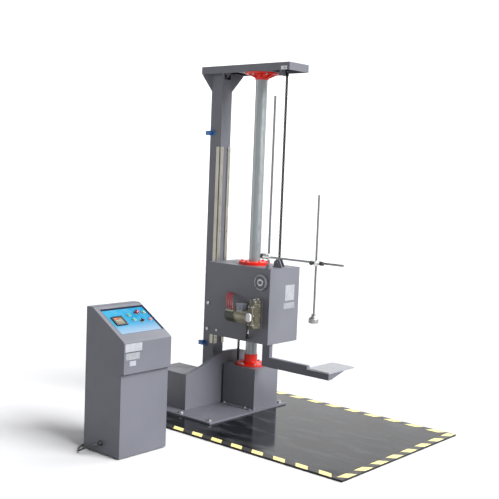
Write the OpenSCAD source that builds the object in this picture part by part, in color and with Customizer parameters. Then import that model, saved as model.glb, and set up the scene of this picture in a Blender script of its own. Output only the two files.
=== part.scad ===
// Package drop tester: a lifting carriage with a swinging drop arm over a steel impact plate,
// and a control console standing beside it. Millimetres, Z up, floor at Z = 0,
// guide column axis on the Z axis, +X along the drop arm.

/* [Impact plate] */
// Length of the impact plate along the arm
plate_len = 1760; // [1500:10:2000]
// Width of the impact plate
plate_w = 1200; // [1000:10:1400]
// Thickness of the impact plate
plate_t = 10; // [8:1:20]
// Front edge of the impact plate, measured from the column axis
plate_front = 1285; // [1100:5:1400]
// Offset of the plate's centre line from the column axis
plate_off = -164; // [-200:2:-100]
// Width of the hazard tape
tape_w = 46; // [30:1:60]

/* [Base] */
// Thickness of the machine's base plate
base_t = 10; // [8:1:16]
// Front edge of the base plate
base_front = 155; // [150:1:170]
// Rear edge of the base plate
base_rear = -465; // [-470:1:-450]
// Height of the pedestal's top
pedestal_top = 284; // [270:1:290]

/* [Columns] */
// Diameter of the guide column
column_d = 75; // [70:1:80]
// Width of the rear post along X
post_x = 97; // [90:1:100]
// Width of the rear post along Y
post_y = 94; // [90:1:100]
// Front face of the rear post
post_front = -297; // [-300:1:-290]
// Underside of the top beam
beam_z = 2180; // [2100:5:2200]
// Height of the top beam
beam_h = 48; // [44:1:60]
// Width of the top beam
beam_w = 194; // [180:1:200]

/* [Carriage] */
// Underside of the carriage at its lowest
car_z = 465; // [460:1:480]
// Height of the carriage
car_h = 481; // [470:1:490]
// Width of the carriage
car_w = 297; // [290:1:300]
// Front face of the carriage
car_front = 258.5; // [255:0.5:262]
// Sheet thickness of the carriage
car_t = 6; // [5:0.5:6]

/* [Drop arm] */
// Depth of the arm's strut along X
strut_w = 60; // [50:1:62]
// Thickness of the strut and arm
arm_t = 30; // [25:1:32]
// Front end of the arm
arm_end = 710; // [650:5:760]

/* [Chain] */
// Pitch of the roller chain
chain_pitch = 12.7; // [12.7:0.1:12.7]
// Teeth on each sprocket
teeth = 13; // [13:1:13]

/* [Holding fixture] */
// Diameter of the fixture's upright rod
rod_d = 14; // [12:0.5:14]
// Diameter of the cross rod and the plunger rod
thin_d = 12; // [10:0.5:12]
// Distance between crossing rods
rod_gap = 24; // [22:1:26]

/* [Console] */
// Width of the console
con_w = 339; // [320:1:360]
// Height of the console
con_h = 787; // [760:1:800]
// Sheet thickness of the console
con_t = 2; // [1.5:0.5:3]

/* [Fits] */
// Radial clearance of running and sliding fits
run_fit = 0.06; // [0.03:0.01:0.1]
// Clearance of bolts in their holes
bolt_gap = 0.4; // [0.2:0.1:0.8]

/* [Hidden] */
eps = 0.01;
base_top = plate_t + base_t;
col_r = column_d / 2;
post_cx = post_front - post_x / 2;
post_rear = post_front - post_x;
beam_x0 = -444;
beam_x1 = 300;
beam_top = beam_z + beam_h;
car_top = car_z + car_h;
car_y = car_w / 2;
car_rear = -276;
roller_x = -262;
roller_axle_r = 8;
roller_z = [car_z + 35, car_z + 207];
chain_r = chain_pitch / (2 * sin(180 / teeth));
front_chain_x = 206;
low_chain_x = -113;
rear_chain_x = -345;
top_axle_z = beam_z + 6;
up_links = floor((top_axle_z - car_z - car_h - 46) / chain_pitch);
bracket_pin = top_axle_z - up_links * chain_pitch - car_z - car_h - 13.2;
low_axle_z = 130;
front_axle_x = front_chain_x - chain_r;
rear_axle_x = rear_chain_x + chain_r;
idler_axle_x = low_chain_x - chain_r;
pivot_x = 188;
pivot_z = car_top - 90;
strut_x1 = 246;
strut_x0 = strut_x1 - strut_w;
arm_y0 = -111;
arm_y1 = arm_y0 + arm_t;
arm_z0 = 318;
arm_z1 = 380;
pad_top = 367;
crank_x = 182;
crank_z = pivot_z - 166;
crank_reach = 98;
stud_x = pivot_x + 30;
stud_z = pivot_z - 50;
box_x0 = 164;
box_x1 = 200;
worm_y = -198;
worm_z = crank_z - 58;
motor_x0 = 46;
motor_x1 = 150;
rod_x = 212;
rod_y = -115;
cross_y = rod_y - rod_gap;
cross_z = car_top + 74;
plunger_x = 618;
plunger_y = cross_y - rod_gap;
con_x0 = -19;
con_x1 = 274;
con_lip = 294;
con_y0 = -1364;
con_y1 = con_y0 + con_w;
con_z0 = con_h - 328;
con_z1 = con_h - 156;
con_top_x = 30;
slope_a = atan2(con_h - con_z1, con_lip - con_top_x);
slope_len = norm([con_h - con_z1, con_lip - con_top_x]);
steel_grey = [0.52, 0.53, 0.57];
flange_red = [0.85, 0.22, 0.10];
black = [0.08, 0.08, 0.09];
bright = [0.78, 0.79, 0.80];
zinc = [0.66, 0.67, 0.68];

// A bar along Y between y0 and y1.
module bar_y(x, z, y0, y1, r, fn = 48) {
    translate([x, y0, z]) rotate([-90, 0, 0]) cylinder(r = r, h = y1 - y0, $fn = fn);
}

// A bar along X between x0 and x1.
module bar_x(y, z, x0, x1, r, fn = 48) {
    translate([x0, y, z]) rotate([0, 90, 0]) cylinder(r = r, h = x1 - x0, $fn = fn);
}

// A box given by its low and high corners.
module span(a, b) {
    translate(a) cube([b[0] - a[0], b[1] - a[1], b[2] - a[2]]);
}

// A hexagon-headed bolt standing on z = 0 with its shank below.
module hex_bolt(d, shank, head = 0.65) {
    cylinder(r = d * 0.9, h = head * d, $fn = 6);
    translate([0, 0, -shank]) cylinder(r = d / 2, h = shank + eps, $fn = 24);
}

// A socket-headed screw standing on z = 0 with its shank below.
module socket_screw(d, shank) {
    difference() {
        cylinder(r = d * 0.8, h = d * 0.75, $fn = 24);
        translate([0, 0, d * 0.3]) cylinder(r = d * 0.42, h = d, $fn = 6);
    }
    translate([0, 0, -shank]) cylinder(r = d / 2, h = shank + eps, $fn = 24);
}

// Places its children on a circle.
module ring(n, r, a0 = 0) {
    for (i = [0 : n - 1]) rotate([0, 0, a0 + i * 360 / n]) translate([r, 0, 0]) children();
}

// A sprocket on a Y axis through the origin, one tooth gap at angle a from +X towards +Z.
module sprocket(a, bore, hub_r, hub_h) {
    rotate([90, 0, 0]) rotate([0, 0, a]) difference() {
        union() {
            translate([0, 0, -3.4]) linear_extrude(6.8) difference() {
                circle(r = chain_r + 3.2, $fn = 78);
                for (i = [0 : teeth - 1]) rotate(i * 360 / teeth) translate([chain_r, 0]) {
                    circle(r = 4.35, $fn = 24);
                    polygon([[0, -4.35], [8, -5.6], [8, 5.6], [0, 4.35]]);
                }
            }
            translate([0, 0, -hub_h / 2]) cylinder(r = hub_r, h = hub_h, $fn = 48);
        }
        cylinder(r = bore, h = hub_h + 2, center = true, $fn = 48);
    }
}

// One flat chain plate spanning a pitch along +Z, thickness along Y, centred on y.
module chain_plate(y, t) {
    translate([0, y + t / 2, 0]) rotate([90, 0, 0]) linear_extrude(t)
        polygon([[0, -5.4], [4.2, -2.6], [4.2, chain_pitch + 2.6], [0, chain_pitch + 5.4], [-4.2, chain_pitch + 2.6], [-4.2, -2.6]]);
}

// One link of chain from the origin to +Z; wide links are outer links.
module chain_link(outer) {
    chain_plate(outer ? 6.6 : 4.9, 1.5);
    chain_plate(outer ? -6.6 : -4.9, 1.5);
    bar_y(0, 0, -7.9, 7.9, 2.2, 16);
}

// A straight run of n links up from [x, 0, z].
module chain_run(x, z, n) {
    for (i = [0 : n - 1]) translate([x, 0, z + i * chain_pitch]) chain_link(i % 2 == 0);
    translate([x, 0, z + n * chain_pitch]) bar_y(0, 0, -7.9, 7.9, 2.2, 16);
}

// A tube of n sides and radius r swept through points p.
module tube(p, r, n = 8) {
    m = len(p);
    dirs = [for (i = [0 : m - 1])
        let (d = (i == 0) ? p[1] - p[0] : (i == m - 1) ? p[m - 1] - p[m - 2] : p[i + 1] - p[i - 1])
        d / norm(d)];
    ref = [0.31, 0.17, 0.935];
    pts = [for (i = [0 : m - 1])
        let (a = cross(dirs[i], ref), u = a / norm(a), v = cross(dirs[i], u))
        for (k = [0 : n - 1]) p[i] + r * (cos(k * 360 / n) * u + sin(k * 360 / n) * v)];
    sides = [for (i = [0 : m - 2]) for (k = [0 : n - 1])
        [i * n + k, i * n + (k + 1) % n, (i + 1) * n + (k + 1) % n, (i + 1) * n + k]];
    polyhedron(points = pts,
        faces = concat([[for (k = [n - 1 : -1 : 0]) k]], sides, [[for (k = [0 : n - 1]) (m - 1) * n + k]]));
}

base_bolt_xy = [for (x = [-435, -125, 119]) for (y = [-506, 168]) [x, y]];
pedestal_bolt_xy = [for (x = [-105, 75]) for (y = [-129, 129]) [x, y]];

module impact_plate() color([0.16, 0.16, 0.17]) difference() {
    translate([plate_front - plate_len, plate_off - plate_w / 2, 0]) cube([plate_len, plate_w, plate_t]);
    for (p = base_bolt_xy) translate([p[0], p[1], -1]) cylinder(r = 8 + bolt_gap, h = 20, $fn = 32);
}

module hazard_tape() color([0.92, 0.78, 0.08]) difference() {
    translate([0, 0, plate_t]) linear_extrude(0.4) difference() {
        translate([plate_front - plate_len + 6, plate_off - plate_w / 2 + 4]) square([plate_len - 10, plate_w - 8]);
        translate([plate_front - plate_len, plate_off - plate_w / 2 + 4 + tape_w])
            square([plate_len - 4 - tape_w, plate_w - 8 - 2 * tape_w]);
    }
}

module base_plate() color(steel_grey) difference() {
    span([base_rear, -542, plate_t], [base_front, 198, base_top]);
    for (p = base_bolt_xy) translate([p[0], p[1], 0]) cylinder(r = 8 + bolt_gap, h = 40, $fn = 32);
    for (p = pedestal_bolt_xy) translate([p[0], p[1], plate_t + 2]) cylinder(r = 5 + bolt_gap, h = 40, $fn = 24);
}

module base_bolts() color(bright) for (p = base_bolt_xy) translate([p[0], p[1], base_top]) {
    cylinder(r = 17, h = 3, $fn = 36);
    translate([0, 0, 3 - eps]) hex_bolt(16, 20);
}

module pedestal() color(steel_grey) difference() {
    union() {
        difference() {
            span([-133, -117, base_top], [138, 117, pedestal_top]);
            span([-127, -111, base_top - 1], [132, 111, pedestal_top - 10]);
        }
        span([-125, -142, base_top], [125, -116, base_top + 6]);
        span([-125, 116, base_top], [125, 142, base_top + 6]);
    }
    cylinder(r = col_r + 0.4, h = 400, $fn = 96);
    translate([low_chain_x, 0, pedestal_top - 20]) cube([18, 24, 60], center = true);
    for (a = [0 : 5]) rotate([0, 0, 30 + a * 60]) translate([82, 0, pedestal_top - 30])
        cylinder(r = 5 + bolt_gap, h = 60, $fn = 24);
    for (p = pedestal_bolt_xy) translate([p[0], p[1], 0]) cylinder(r = 5 + bolt_gap, h = 60, $fn = 24);
    translate([-140, -14, 70]) cube([20, 28, 130]);
}

module pedestal_bolts() color(bright) for (p = pedestal_bolt_xy) translate([p[0], p[1], base_top + 6]) {
    cylinder(r = 10, h = 2, $fn = 32);
    translate([0, 0, 2 - eps]) hex_bolt(10, 14);
}

module column_flange(disc_r, neck_top, bore) {
    rotate_extrude($fn = 120) polygon([[bore, 0], [disc_r, 0], [disc_r, 9], [disc_r - 1, 10], [56, 10],
        [47, 18], [43, 24], [43, neck_top - 2], [41, neck_top], [bore, neck_top]]);
}

module lower_flange() color(flange_red) difference() {
    translate([0, 0, pedestal_top]) column_flange(100, 70, col_r + 0.4);
    ring(6, 82, 30) translate([0, 0, pedestal_top - 5]) cylinder(r = 5 + bolt_gap, h = 30, $fn = 24);
}

module lower_screws() color(bright) ring(6, 82, 30) translate([0, 0, pedestal_top + 10]) socket_screw(10, 18);

module guide_column() color([0.72, 0.73, 0.74]) translate([0, 0, base_top]) difference() {
    cylinder(r = col_r, h = beam_z - base_top, $fn = 128);
    translate([0, 0, 30]) cylinder(r = col_r - 7, h = beam_z - base_top - 60, $fn = 64);
}

module upper_flange() color(flange_red) difference() {
    union() {
        translate([0, 0, beam_z]) mirror([0, 0, 1]) column_flange(108, 44, col_r + 0.4);
        for (a = [0 : 5]) rotate([0, 0, a * 60]) translate([0, 3, beam_z - 9.9]) rotate([90, 0, 0])
            linear_extrude(6) polygon([[42, 0.2], [98, 0.2], [46, -24], [42, -24]]);
    }
    ring(6, 86, 30) translate([0, 0, beam_z - 20]) cylinder(r = 5 + bolt_gap, h = 30, $fn = 24);
}

module upper_screws() color(bright) ring(6, 86, 30) translate([0, 0, beam_z - 10]) mirror([0, 0, 1]) socket_screw(10, 14);

module top_beam() color(steel_grey) difference() {
    union() {
        difference() {
            span([beam_x0, -beam_w / 2, beam_z], [beam_x1, beam_w / 2, beam_top]);
            span([beam_x0 + 5, -beam_w / 2 + 5, beam_z - 1], [beam_x1 - 5, beam_w / 2 - 5, beam_top - 5]);
        }
        span([-125, -beam_w / 2 + 4, beam_z], [125, -19, beam_z + 8]);
        span([-125, 19, beam_z], [125, beam_w / 2 - 4, beam_z + 8]);
        span([-125, -20, beam_z], [125, 20, beam_z + 8]);
        span([-440, -beam_w / 2 + 4, beam_z], [-250, -19, beam_z + 8]);
        span([-440, 19, beam_z], [-250, beam_w / 2 - 4, beam_z + 8]);
        for (s = [-1, 1]) for (x = [rear_axle_x, front_axle_x])
            span([x - 22, s * 19 - 4, beam_z + (x > 0 ? -24 : 0)], [x + 22, s * 19 + 4, beam_top - 4]);
        for (s = [-1, 1]) span([front_axle_x - 22, min(s * 19, s * (beam_w / 2 - 3)), beam_top - 12],
            [front_axle_x + 22, max(s * 19, s * (beam_w / 2 - 3)), beam_top - 4]);
    }
    for (x = [rear_axle_x, front_axle_x]) {
        bar_y(x, top_axle_z, -26, 26, 6.2);
        for (s = [-1, 1]) bar_y(x, top_axle_z, min(s * 23, s * 32), max(s * 23, s * 32), 10);
    }
    ring(6, 86, 30) translate([0, 0, beam_z - 5]) cylinder(r = 5 + bolt_gap, h = 30, $fn = 24);
    translate([260, -90, beam_z + 13]) rotate([90, 0, 0]) cylinder(r = 5.4, h = 30, $fn = 24);
}

module post_gusset(sx, sy) {
    // A triangular plate from the post's corner to the beam's corner.
    x0 = sx > 0 ? post_front : post_rear;
    x1 = sx > 0 ? -246 : -436;
    y0 = sy * post_y / 2;
    y1 = sy * (beam_w / 2 - 1);
    d = norm([x1 - x0, y1 - y0]);
    translate([x0, y0, 0]) rotate([0, 0, atan2(y1 - y0, x1 - x0)]) translate([-5, 4, 0]) rotate([90, 0, 0])
        linear_extrude(8) polygon([[0, beam_z - 107], [5, beam_z - 107], [d + 5, beam_z - 6], [d + 5, beam_z],
            [0, beam_z]]);
}

module rear_post() color(steel_grey) difference() {
    union() {
        difference() {
            span([post_rear, -post_y / 2, base_top], [post_front, post_y / 2, beam_z]);
            span([post_rear + 5, -post_y / 2 + 5, base_top - 1], [post_front - 5, post_y / 2 - 5, beam_z + 1]);
        }
        for (sx = [-1, 1]) for (sy = [-1, 1]) post_gusset(sx, sy);
        difference() {
            span([-440, -75, base_top], [-255, 75, base_top + 10]);
            span([post_rear + 5, -post_y / 2 + 5, base_top - 1], [post_front - 5, post_y / 2 - 5, base_top + 30]);
        }
    }
    // Chain windows at the foot and the head, and the drive shaft's holes.
    span([post_front - 12, -13, low_axle_z - 52], [post_front + 8, 13, low_axle_z + 40]);
    span([post_front - 12, -30, beam_z - 30], [post_front + 8, 30, beam_z + 4]);
    bar_y(rear_axle_x, low_axle_z, -60, 60, 16);
}

module guide_strips() color([0.80, 0.78, 0.70]) {
    for (s = [-1, 1]) {
        difference() {
            span([post_front, s * 34.5 - 12.5, 380], [post_front + 6, s * 34.5 + 12.5, beam_z - 475]);
            for (z = [420 : 180 : beam_z - 500]) translate([post_front + 7, s * 34.5, z]) rotate([0, -90, 0])
                cylinder(r1 = 6, r2 = 3, h = 5, $fn = 24);
        }
        span([post_front - 33, s * (post_y / 2 + 2.5) - 2.5, 380], [post_front - 5, s * (post_y / 2 + 2.5) + 2.5, beam_z - 475]);
    }
}

module axle_cover() color(black) {
    span([236, -beam_w / 2 - 4, beam_z + 2], [284, -beam_w / 2, beam_z + 24]);
    translate([260, -beam_w / 2 - 4, beam_z + 13]) rotate([90, 0, 0]) cylinder(r = 8, h = 6, $fn = 6);
    translate([260, -beam_w / 2 + 6, beam_z + 13]) rotate([90, 0, 0]) cylinder(r = 5, h = 8, $fn = 24);
}

arch_top = [[-450, 250], [-400, 256], [-340, 270], [-279, 290], [-222, 314], [-168, 338], [-120, 350],
    [-75, 355], [-30, 356], [15, 355], [60, 351], [112, 340], [150, 326], [190, 306]];

module arch_guard() color(steel_grey) difference() {
    translate([-149.5, 0, 0]) rotate([0, -90, 0]) mirror([0, 1, 0]) rotate([0, 0, 0]) linear_extrude(30)
        polygon(concat([[base_top, 450]], [for (p = arch_top) [p[1], -p[0]]], [[base_top, -190]]));
    translate([-152.5, 0, 0]) rotate([0, -90, 0]) mirror([0, 1, 0]) linear_extrude(40)
        polygon(concat([[base_top - 1, 447]], [for (p = arch_top) [p[1] - 3, (p[0] < -440) ? 447 : (p[0] > 180) ? -187 : -p[0]]],
            [[base_top - 1, -187]]));
    span([-170, -14, 70], [-140, 14, 200]);
}

module motor_cover() color(steel_grey) difference() {
    span([-440, -450, base_top], [-180, -225, 250]);
    span([-437, -447, base_top - 1], [-183, -228, 247]);
    span([-384, -230, base_top - 1], [-250, -220, 210]);
    for (i = [0 : 6]) span([-445, -400 + i * 22, 110], [-430, -390 + i * 22, 190]);
}

module lift_motor() color([0.30, 0.33, 0.38]) {
    bar_y(rear_axle_x, low_axle_z, -415, -215, 62, 72);
    for (a = [0 : 23]) translate([rear_axle_x, 0, low_axle_z]) rotate([0, a * 15, 0])
        span([60, -390, -1.5], [70, -240, 1.5]);
    bar_y(rear_axle_x, low_axle_z, -440, -414, 66, 72);
    span([rear_axle_x - 60, -360, base_top], [rear_axle_x + 60, -270, base_top + 12]);
    span([rear_axle_x - 50, -350, base_top + 11], [rear_axle_x - 38, -280, 90]);
    span([rear_axle_x + 38, -350, base_top + 11], [rear_axle_x + 50, -280, 90]);
    span([rear_axle_x - 40, -360, 190], [rear_axle_x + 40, -280, 230]);
}

module lift_gearbox() color([0.34, 0.37, 0.42]) difference() {
    union() {
        span([rear_axle_x - 60, -215, base_top], [rear_axle_x + 60, -85, 200]);
        bar_y(rear_axle_x, low_axle_z, -86, -60, 44, 72);
    }
    bar_y(rear_axle_x, low_axle_z, -150, -50, 15 + run_fit);
}

module drive_sprocket() color(zinc) translate([rear_axle_x, 0, low_axle_z]) {
    sprocket(180, 14.9, 20, 24);
    bar_y(0, 0, -148, 40, 15, 64);
}

module idler_sprocket() color(zinc) translate([idler_axle_x, 0, low_axle_z]) sprocket(0, 6 + run_fit, 11, 22);

module idler_axle() color(bright) {
    bar_y(idler_axle_x, low_axle_z, -46, 46, 6, 64);
    for (s = [-1, 1])
        span([idler_axle_x - 8, s * 37 - 5, base_top], [idler_axle_x + 5.5, s * 37 + 5, low_axle_z + 14]);
}

module rear_sprocket() color(zinc) translate([rear_axle_x, 0, top_axle_z]) sprocket(180, 6 + run_fit, 11, 20);

module front_sprocket() color(zinc) translate([front_axle_x, 0, top_axle_z]) sprocket(0, 6 + run_fit, 11, 20);

module top_axles() color(bright) for (x = [rear_axle_x, front_axle_x]) {
    bar_y(x, top_axle_z, -30, 30, 6, 64);
    for (s = [-1, 1]) bar_y(x, top_axle_z, min(s * 23, s * 30), max(s * 23, s * 30), 9, 6);
}

module chain_upper() color(black) chain_run(front_chain_x, top_axle_z - up_links * chain_pitch, up_links);

module chain_lower() color(black) chain_run(low_chain_x, low_axle_z, 24);

// A hidden straight run, drawn as its plates' strips on a core.
module chain_strip(x0, z0, x1, z1) {
    translate([x0, 0, z0]) rotate([0, atan2(x1 - x0, z1 - z0), 0]) {
        for (s = [-1, 1]) span([-4.2, s * 5.8 - 1.5, 0], [4.2, s * 5.8 + 1.5, norm([x1 - x0, z1 - z0])]);
        span([-2.2, -5, 26], [2.2, 5, norm([x1 - x0, z1 - z0]) - 26]);
    }
}

// Links wrapped round a sprocket from angle a0 by n teeth.
module chain_wrap(x, z, a0, n, dir) {
    for (i = [0 : n - 1]) {
        a = a0 + dir * i * 360 / teeth;
        b = a0 + dir * (i + 1) * 360 / teeth;
        p = [x + chain_r * cos(a), z + chain_r * sin(a)];
        q = [x + chain_r * cos(b), z + chain_r * sin(b)];
        translate([p[0], 0, p[1]]) rotate([0, atan2(q[0] - p[0], q[1] - p[1]), 0]) chain_link(i % 2 == 1);
    }
}

module chain_return() color(black) {
    // Front sprocket, top run, rear sprocket, run down the post, drive sprocket and bottom run.
    chain_wrap(front_axle_x, top_axle_z, 360 / teeth, 2, 1);
    chain_strip(front_axle_x, top_axle_z + chain_r, rear_axle_x, top_axle_z + chain_r);
    chain_wrap(rear_axle_x, top_axle_z, 180 - 360 * 3 / teeth, 3, 1);
    chain_strip(rear_chain_x, top_axle_z - 2, rear_chain_x, low_axle_z + 2);
    chain_wrap(rear_axle_x, low_axle_z, 180, 3, 1);
    chain_strip(rear_axle_x, low_axle_z - chain_r, idler_axle_x, low_axle_z - chain_r);
    chain_wrap(idler_axle_x, low_axle_z, -360 * 3 / teeth, 2, 1);
}

module limit_switch(z, down) {
    translate([post_rear, -post_y / 2, z]) {
        span([-8, -3, -16], [40, 0, 16]);
        span([-22, -24, -14], [16, -3, 14]);
        span([16, -18, -6], [24, -8, 6]);
        translate([20, -10, 0]) rotate([0, down ? -50 : 50, 0]) span([-2, -4, -3], [30, 0, 3]);
    }
}

module limit_upper() color([0.10, 0.30, 0.55]) limit_switch(beam_z - 385, true);

module limit_lower() color([0.10, 0.30, 0.55]) limit_switch(375, false);

module carriage_box() color(steel_grey) difference() {
    union() {
        difference() {
            span([car_rear, -car_y, car_z], [car_front, car_y, car_top]);
            span([car_rear - 1, -car_y + car_t, car_z + car_t], [car_front - car_t, car_y - car_t, car_top - car_t]);
        }
        translate([0, 0, car_z + car_t - eps]) cylinder(r = 57, h = car_h - 2 * car_t + 2 * eps, $fn = 96);
        translate([rod_x, rod_y, car_top - eps]) cylinder(r = 22, h = 5, $fn = 64);
        translate([rod_x, rod_y, car_top - eps]) cylinder(r = 13, h = 26, $fn = 64);
        translate([rod_x, rod_y, car_top - car_t - 6]) cylinder(r = 13, h = 8, $fn = 64);
    }
    translate([0, 0, car_z - 1]) cylinder(r = 50.4, h = car_h + 2, $fn = 96);
    span([26, arm_y0 - 6, car_z - 1], [car_front - car_t - 1, arm_y1 + 6, car_z + car_t + 1]);
    bar_y(pivot_x, pivot_z, -car_y - 1, car_y + 1, 22);
    bar_y(crank_x, crank_z, -car_y - 1, -car_y + 20, 14);
    for (z = roller_z) bar_y(roller_x, z, -car_y - 1, car_y + 1, roller_axle_r + run_fit);
    ring(6, 84, 30) translate([0, 0, car_top - 20]) cylinder(r = 5 + bolt_gap, h = 30, $fn = 24);
    translate([rod_x, rod_y, car_top - 5]) cylinder(r = rod_d / 2 + run_fit, h = 60, $fn = 64);
}

module carriage_flange() color(flange_red) {
    difference() {
        translate([0, 0, car_top]) rotate_extrude($fn = 120) polygon([[61.9, 0], [103, 0], [103, 8.5], [98, 8.5],
            [98, 10.5], [102, 10.5], [102, 19], [101, 20], [col_r + 1.5, 20], [col_r + 1.5, 10], [61.9, 10]]);
        ring(6, 84, 30) translate([0, 0, car_top - 5]) cylinder(r = 5 + bolt_gap, h = 40, $fn = 24);
    }
    ring(6, 84, 30) translate([0, 0, car_top + 20]) socket_screw(10, 24);
}

module bush(z0, z1) rotate_extrude($fn = 120)
    polygon([[col_r + run_fit, z0], [50, z0], [50, z1], [61.5, z1], [61.5, z1 + 10], [col_r + run_fit, z1 + 10]]);

module carriage_bushes() color([0.62, 0.47, 0.22]) {
    bush(car_top - 80, car_top);
    mirror([0, 0, 1]) bush(-car_z - 80, -car_z);
}

module roller() {
    difference() {
        union() {
            bar_y(0, 0, -52, 52, 20, 64);
            for (s = [-1, 1]) bar_y(0, 0, s * 34.5 - 14, s * 34.5 + 14, roller_x - post_front - 6.3, 96);
        }
        bar_y(0, 0, -60, 60, roller_axle_r + run_fit, 64);
    }
}

module upper_roller() color([0.75, 0.72, 0.62]) translate([roller_x, 0, roller_z[1]]) roller();

module lower_roller() color([0.75, 0.72, 0.62]) translate([roller_x, 0, roller_z[0]]) roller();

module roller_axles() color(bright) {
    for (z = roller_z) {
        bar_y(roller_x, z, -car_y - 2, car_y + 2, roller_axle_r, 64);
        for (s = [-1, 1]) {
            bar_y(roller_x, z, min(s * (car_y), s * (car_y + 7)), max(s * (car_y), s * (car_y + 7)), 12, 6);
            bar_y(roller_x, z, min(s * 54, s * (car_y - car_t)), max(s * 54, s * (car_y - car_t)), 13, 48);
        }
    }
    for (s = [-1, 1]) translate([-180, s * car_y, roller_z[0]]) rotate([-s * 90, 0, 0]) cylinder(r = 8, h = 4, $fn = 32);
}

module side_shoes() for (s = [-1, 1]) for (z = [car_z + 135, car_top - 86]) {
    color([0.85, 0.85, 0.80])
        span([-326, min(s * 52.3, s * 66), z - 30], [-306, max(s * 52.3, s * 66), z + 30]);
    color(steel_grey) {
        span([-326, min(s * 66, s * 72), z - 26], [-262, max(s * 66, s * 72), z + 26]);
        span([-268, min(s * 71, s * (car_y - car_t)), z - 26], [-262, max(s * 71, s * (car_y - car_t)), z + 26]);
    }
}

module chain_bracket() color([0.25, 0.24, 0.26]) translate([front_chain_x, 0, car_top]) {
    difference() {
        union() {
            span([-34, -20, 0], [38, 20, 6]);
            for (s = [-1, 1]) translate([0, s * 14 + 3, 0]) rotate([90, 0, 0]) linear_extrude(6)
                polygon([[-30, 5], [36, 5], [12, bracket_pin + 19], [-12, bracket_pin + 19], [-30, bracket_pin + 1]]);
        }
        bar_y(0, bracket_pin, -30, 30, 5.2);
    }
    bar_y(0, bracket_pin, -24, 24, 5, 32);
    span([-5, -5, 5.9], [5, 5, bracket_pin + 10.7]);
}

module lower_anchor() color([0.25, 0.24, 0.26]) translate([low_chain_x, 0, car_z]) {
    span([-16, -20, -6], [16, 20, 0]);
    for (s = [-1, 1]) span([-10, s * 13 - 3, -34], [10, s * 13 + 3, -5.9]);
    bar_y(0, -20.5, -20, 20, 4, 32);
}

module pivot_bearings() color(steel_grey) for (s = [-1, 1]) {
    difference() {
        union() {
            bar_y(pivot_x, pivot_z, min(s * car_y, s * (car_y + 12)), max(s * car_y, s * (car_y + 12)), 52, 96);
            bar_y(pivot_x, pivot_z, min(s * (car_y - 20), s * (car_y + 1)), max(s * (car_y - 20), s * (car_y + 1)), 21.8, 64);
        }
        bar_y(pivot_x, pivot_z, min(s * (car_y - 30), s * (car_y + 8)), max(s * (car_y - 30), s * (car_y + 8)), 15 + run_fit, 64);
        translate([pivot_x, s * (car_y + 12), pivot_z]) rotate([90, 0, 0]) difference() {
            cylinder(r = 40, h = 3, center = true, $fn = 96);
            cylinder(r = 24, h = 8, center = true, $fn = 64);
        }
    }
    translate([pivot_x, s * (car_y + 11.9), pivot_z]) rotate([s * -90, 0, 0]) cylinder(r = 12, h = 8, $fn = 6);
    for (a = [45 : 90 : 315]) translate([pivot_x + 46 * cos(a), s * (car_y + 11.9), pivot_z + 46 * sin(a)])
        rotate([s * -90, 0, 0]) cylinder(r = 4, h = 3, $fn = 24);
}

module pivot_shaft() color(bright) bar_y(pivot_x, pivot_z, -car_y - 6, car_y + 6, 15, 64);

module arm() color(steel_grey) difference() {
    union() {
        span([strut_x0, arm_y0, arm_z0], [strut_x1, arm_y1, pivot_z - 76]);
        translate([0, arm_y1, 0]) rotate([90, 0, 0]) linear_extrude(arm_t)
            polygon([[strut_x0, pivot_z - 96], [strut_x1, pivot_z - 96], [pivot_x + 33, pivot_z + 14], [pivot_x - 33, pivot_z + 14],
                [pivot_x - 34, pivot_z - 20]]);
        bar_y(pivot_x, pivot_z, arm_y0, arm_y1, 36, 96);
        bar_y(pivot_x, pivot_z, -126, 126, 24, 64);
        bar_y(stud_x, stud_z, -124, arm_y0 + 1, 6, 32);
        bar_y(stud_x, stud_z, -136, -123.9, 10, 48);
        span([strut_x0, arm_y0, arm_z0], [545, arm_y1, arm_z1]);
        span([544, arm_y0, arm_z0], [arm_end, arm_y1, pad_top - 10]);
        translate([arm_end, 0, 0]) rotate([90, 0, -90]) linear_extrude(10)
            polygon([[-arm_y0 - arm_t / 2, arm_z0], [-arm_y1 + 0, arm_z0], [-60, pad_top - 10], [-arm_y0 - arm_t / 2, pad_top - 10]]);
        translate([552, 0, 0]) rotate([90, 0, 90]) linear_extrude(8)
            polygon([[arm_y1 - 1, arm_z0 + 10], [60, pad_top - 18], [60, pad_top - 10], [arm_y1 - 1, pad_top - 10]]);
    }
    bar_y(pivot_x, pivot_z, -140, 140, 15 + run_fit, 64);
    for (p = pad_screw_xy) translate([p[0], p[1], pad_top - 30]) cylinder(r = 4 + bolt_gap, h = 40, $fn = 24);
}

pad_screw_xy = [[575, -96], [685, -96]];
module arm_pad() color([0.80, 0.81, 0.82]) difference() {
    span([546, -112, pad_top - 10], [713, 154, pad_top]);
    for (p = pad_screw_xy) translate([p[0], p[1], pad_top - 20]) {
        cylinder(r = 4 + bolt_gap, h = 40, $fn = 24);
        translate([0, 0, 15.4]) cylinder(r1 = 4 + bolt_gap, r2 = 8.4, h = 4.7, $fn = 32);
    }
}

module pad_screws() color(bright) for (p = pad_screw_xy) translate([p[0], p[1], pad_top - 20]) {
    translate([0, 0, -6]) cylinder(r = 4, h = 23, $fn = 24);
    translate([0, 0, 15.7]) cylinder(r1 = 4, r2 = 7.9, h = 4, $fn = 32);
}

module reset_crank() color(zinc) {
    bar_y(crank_x, crank_z, -200, -125, 10, 64);
    bar_y(crank_x, crank_z, -137, -125, 16, 64);
    span([crank_x - crank_reach, -137, crank_z - 9], [crank_x, -126, crank_z + 9]);
}

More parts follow.
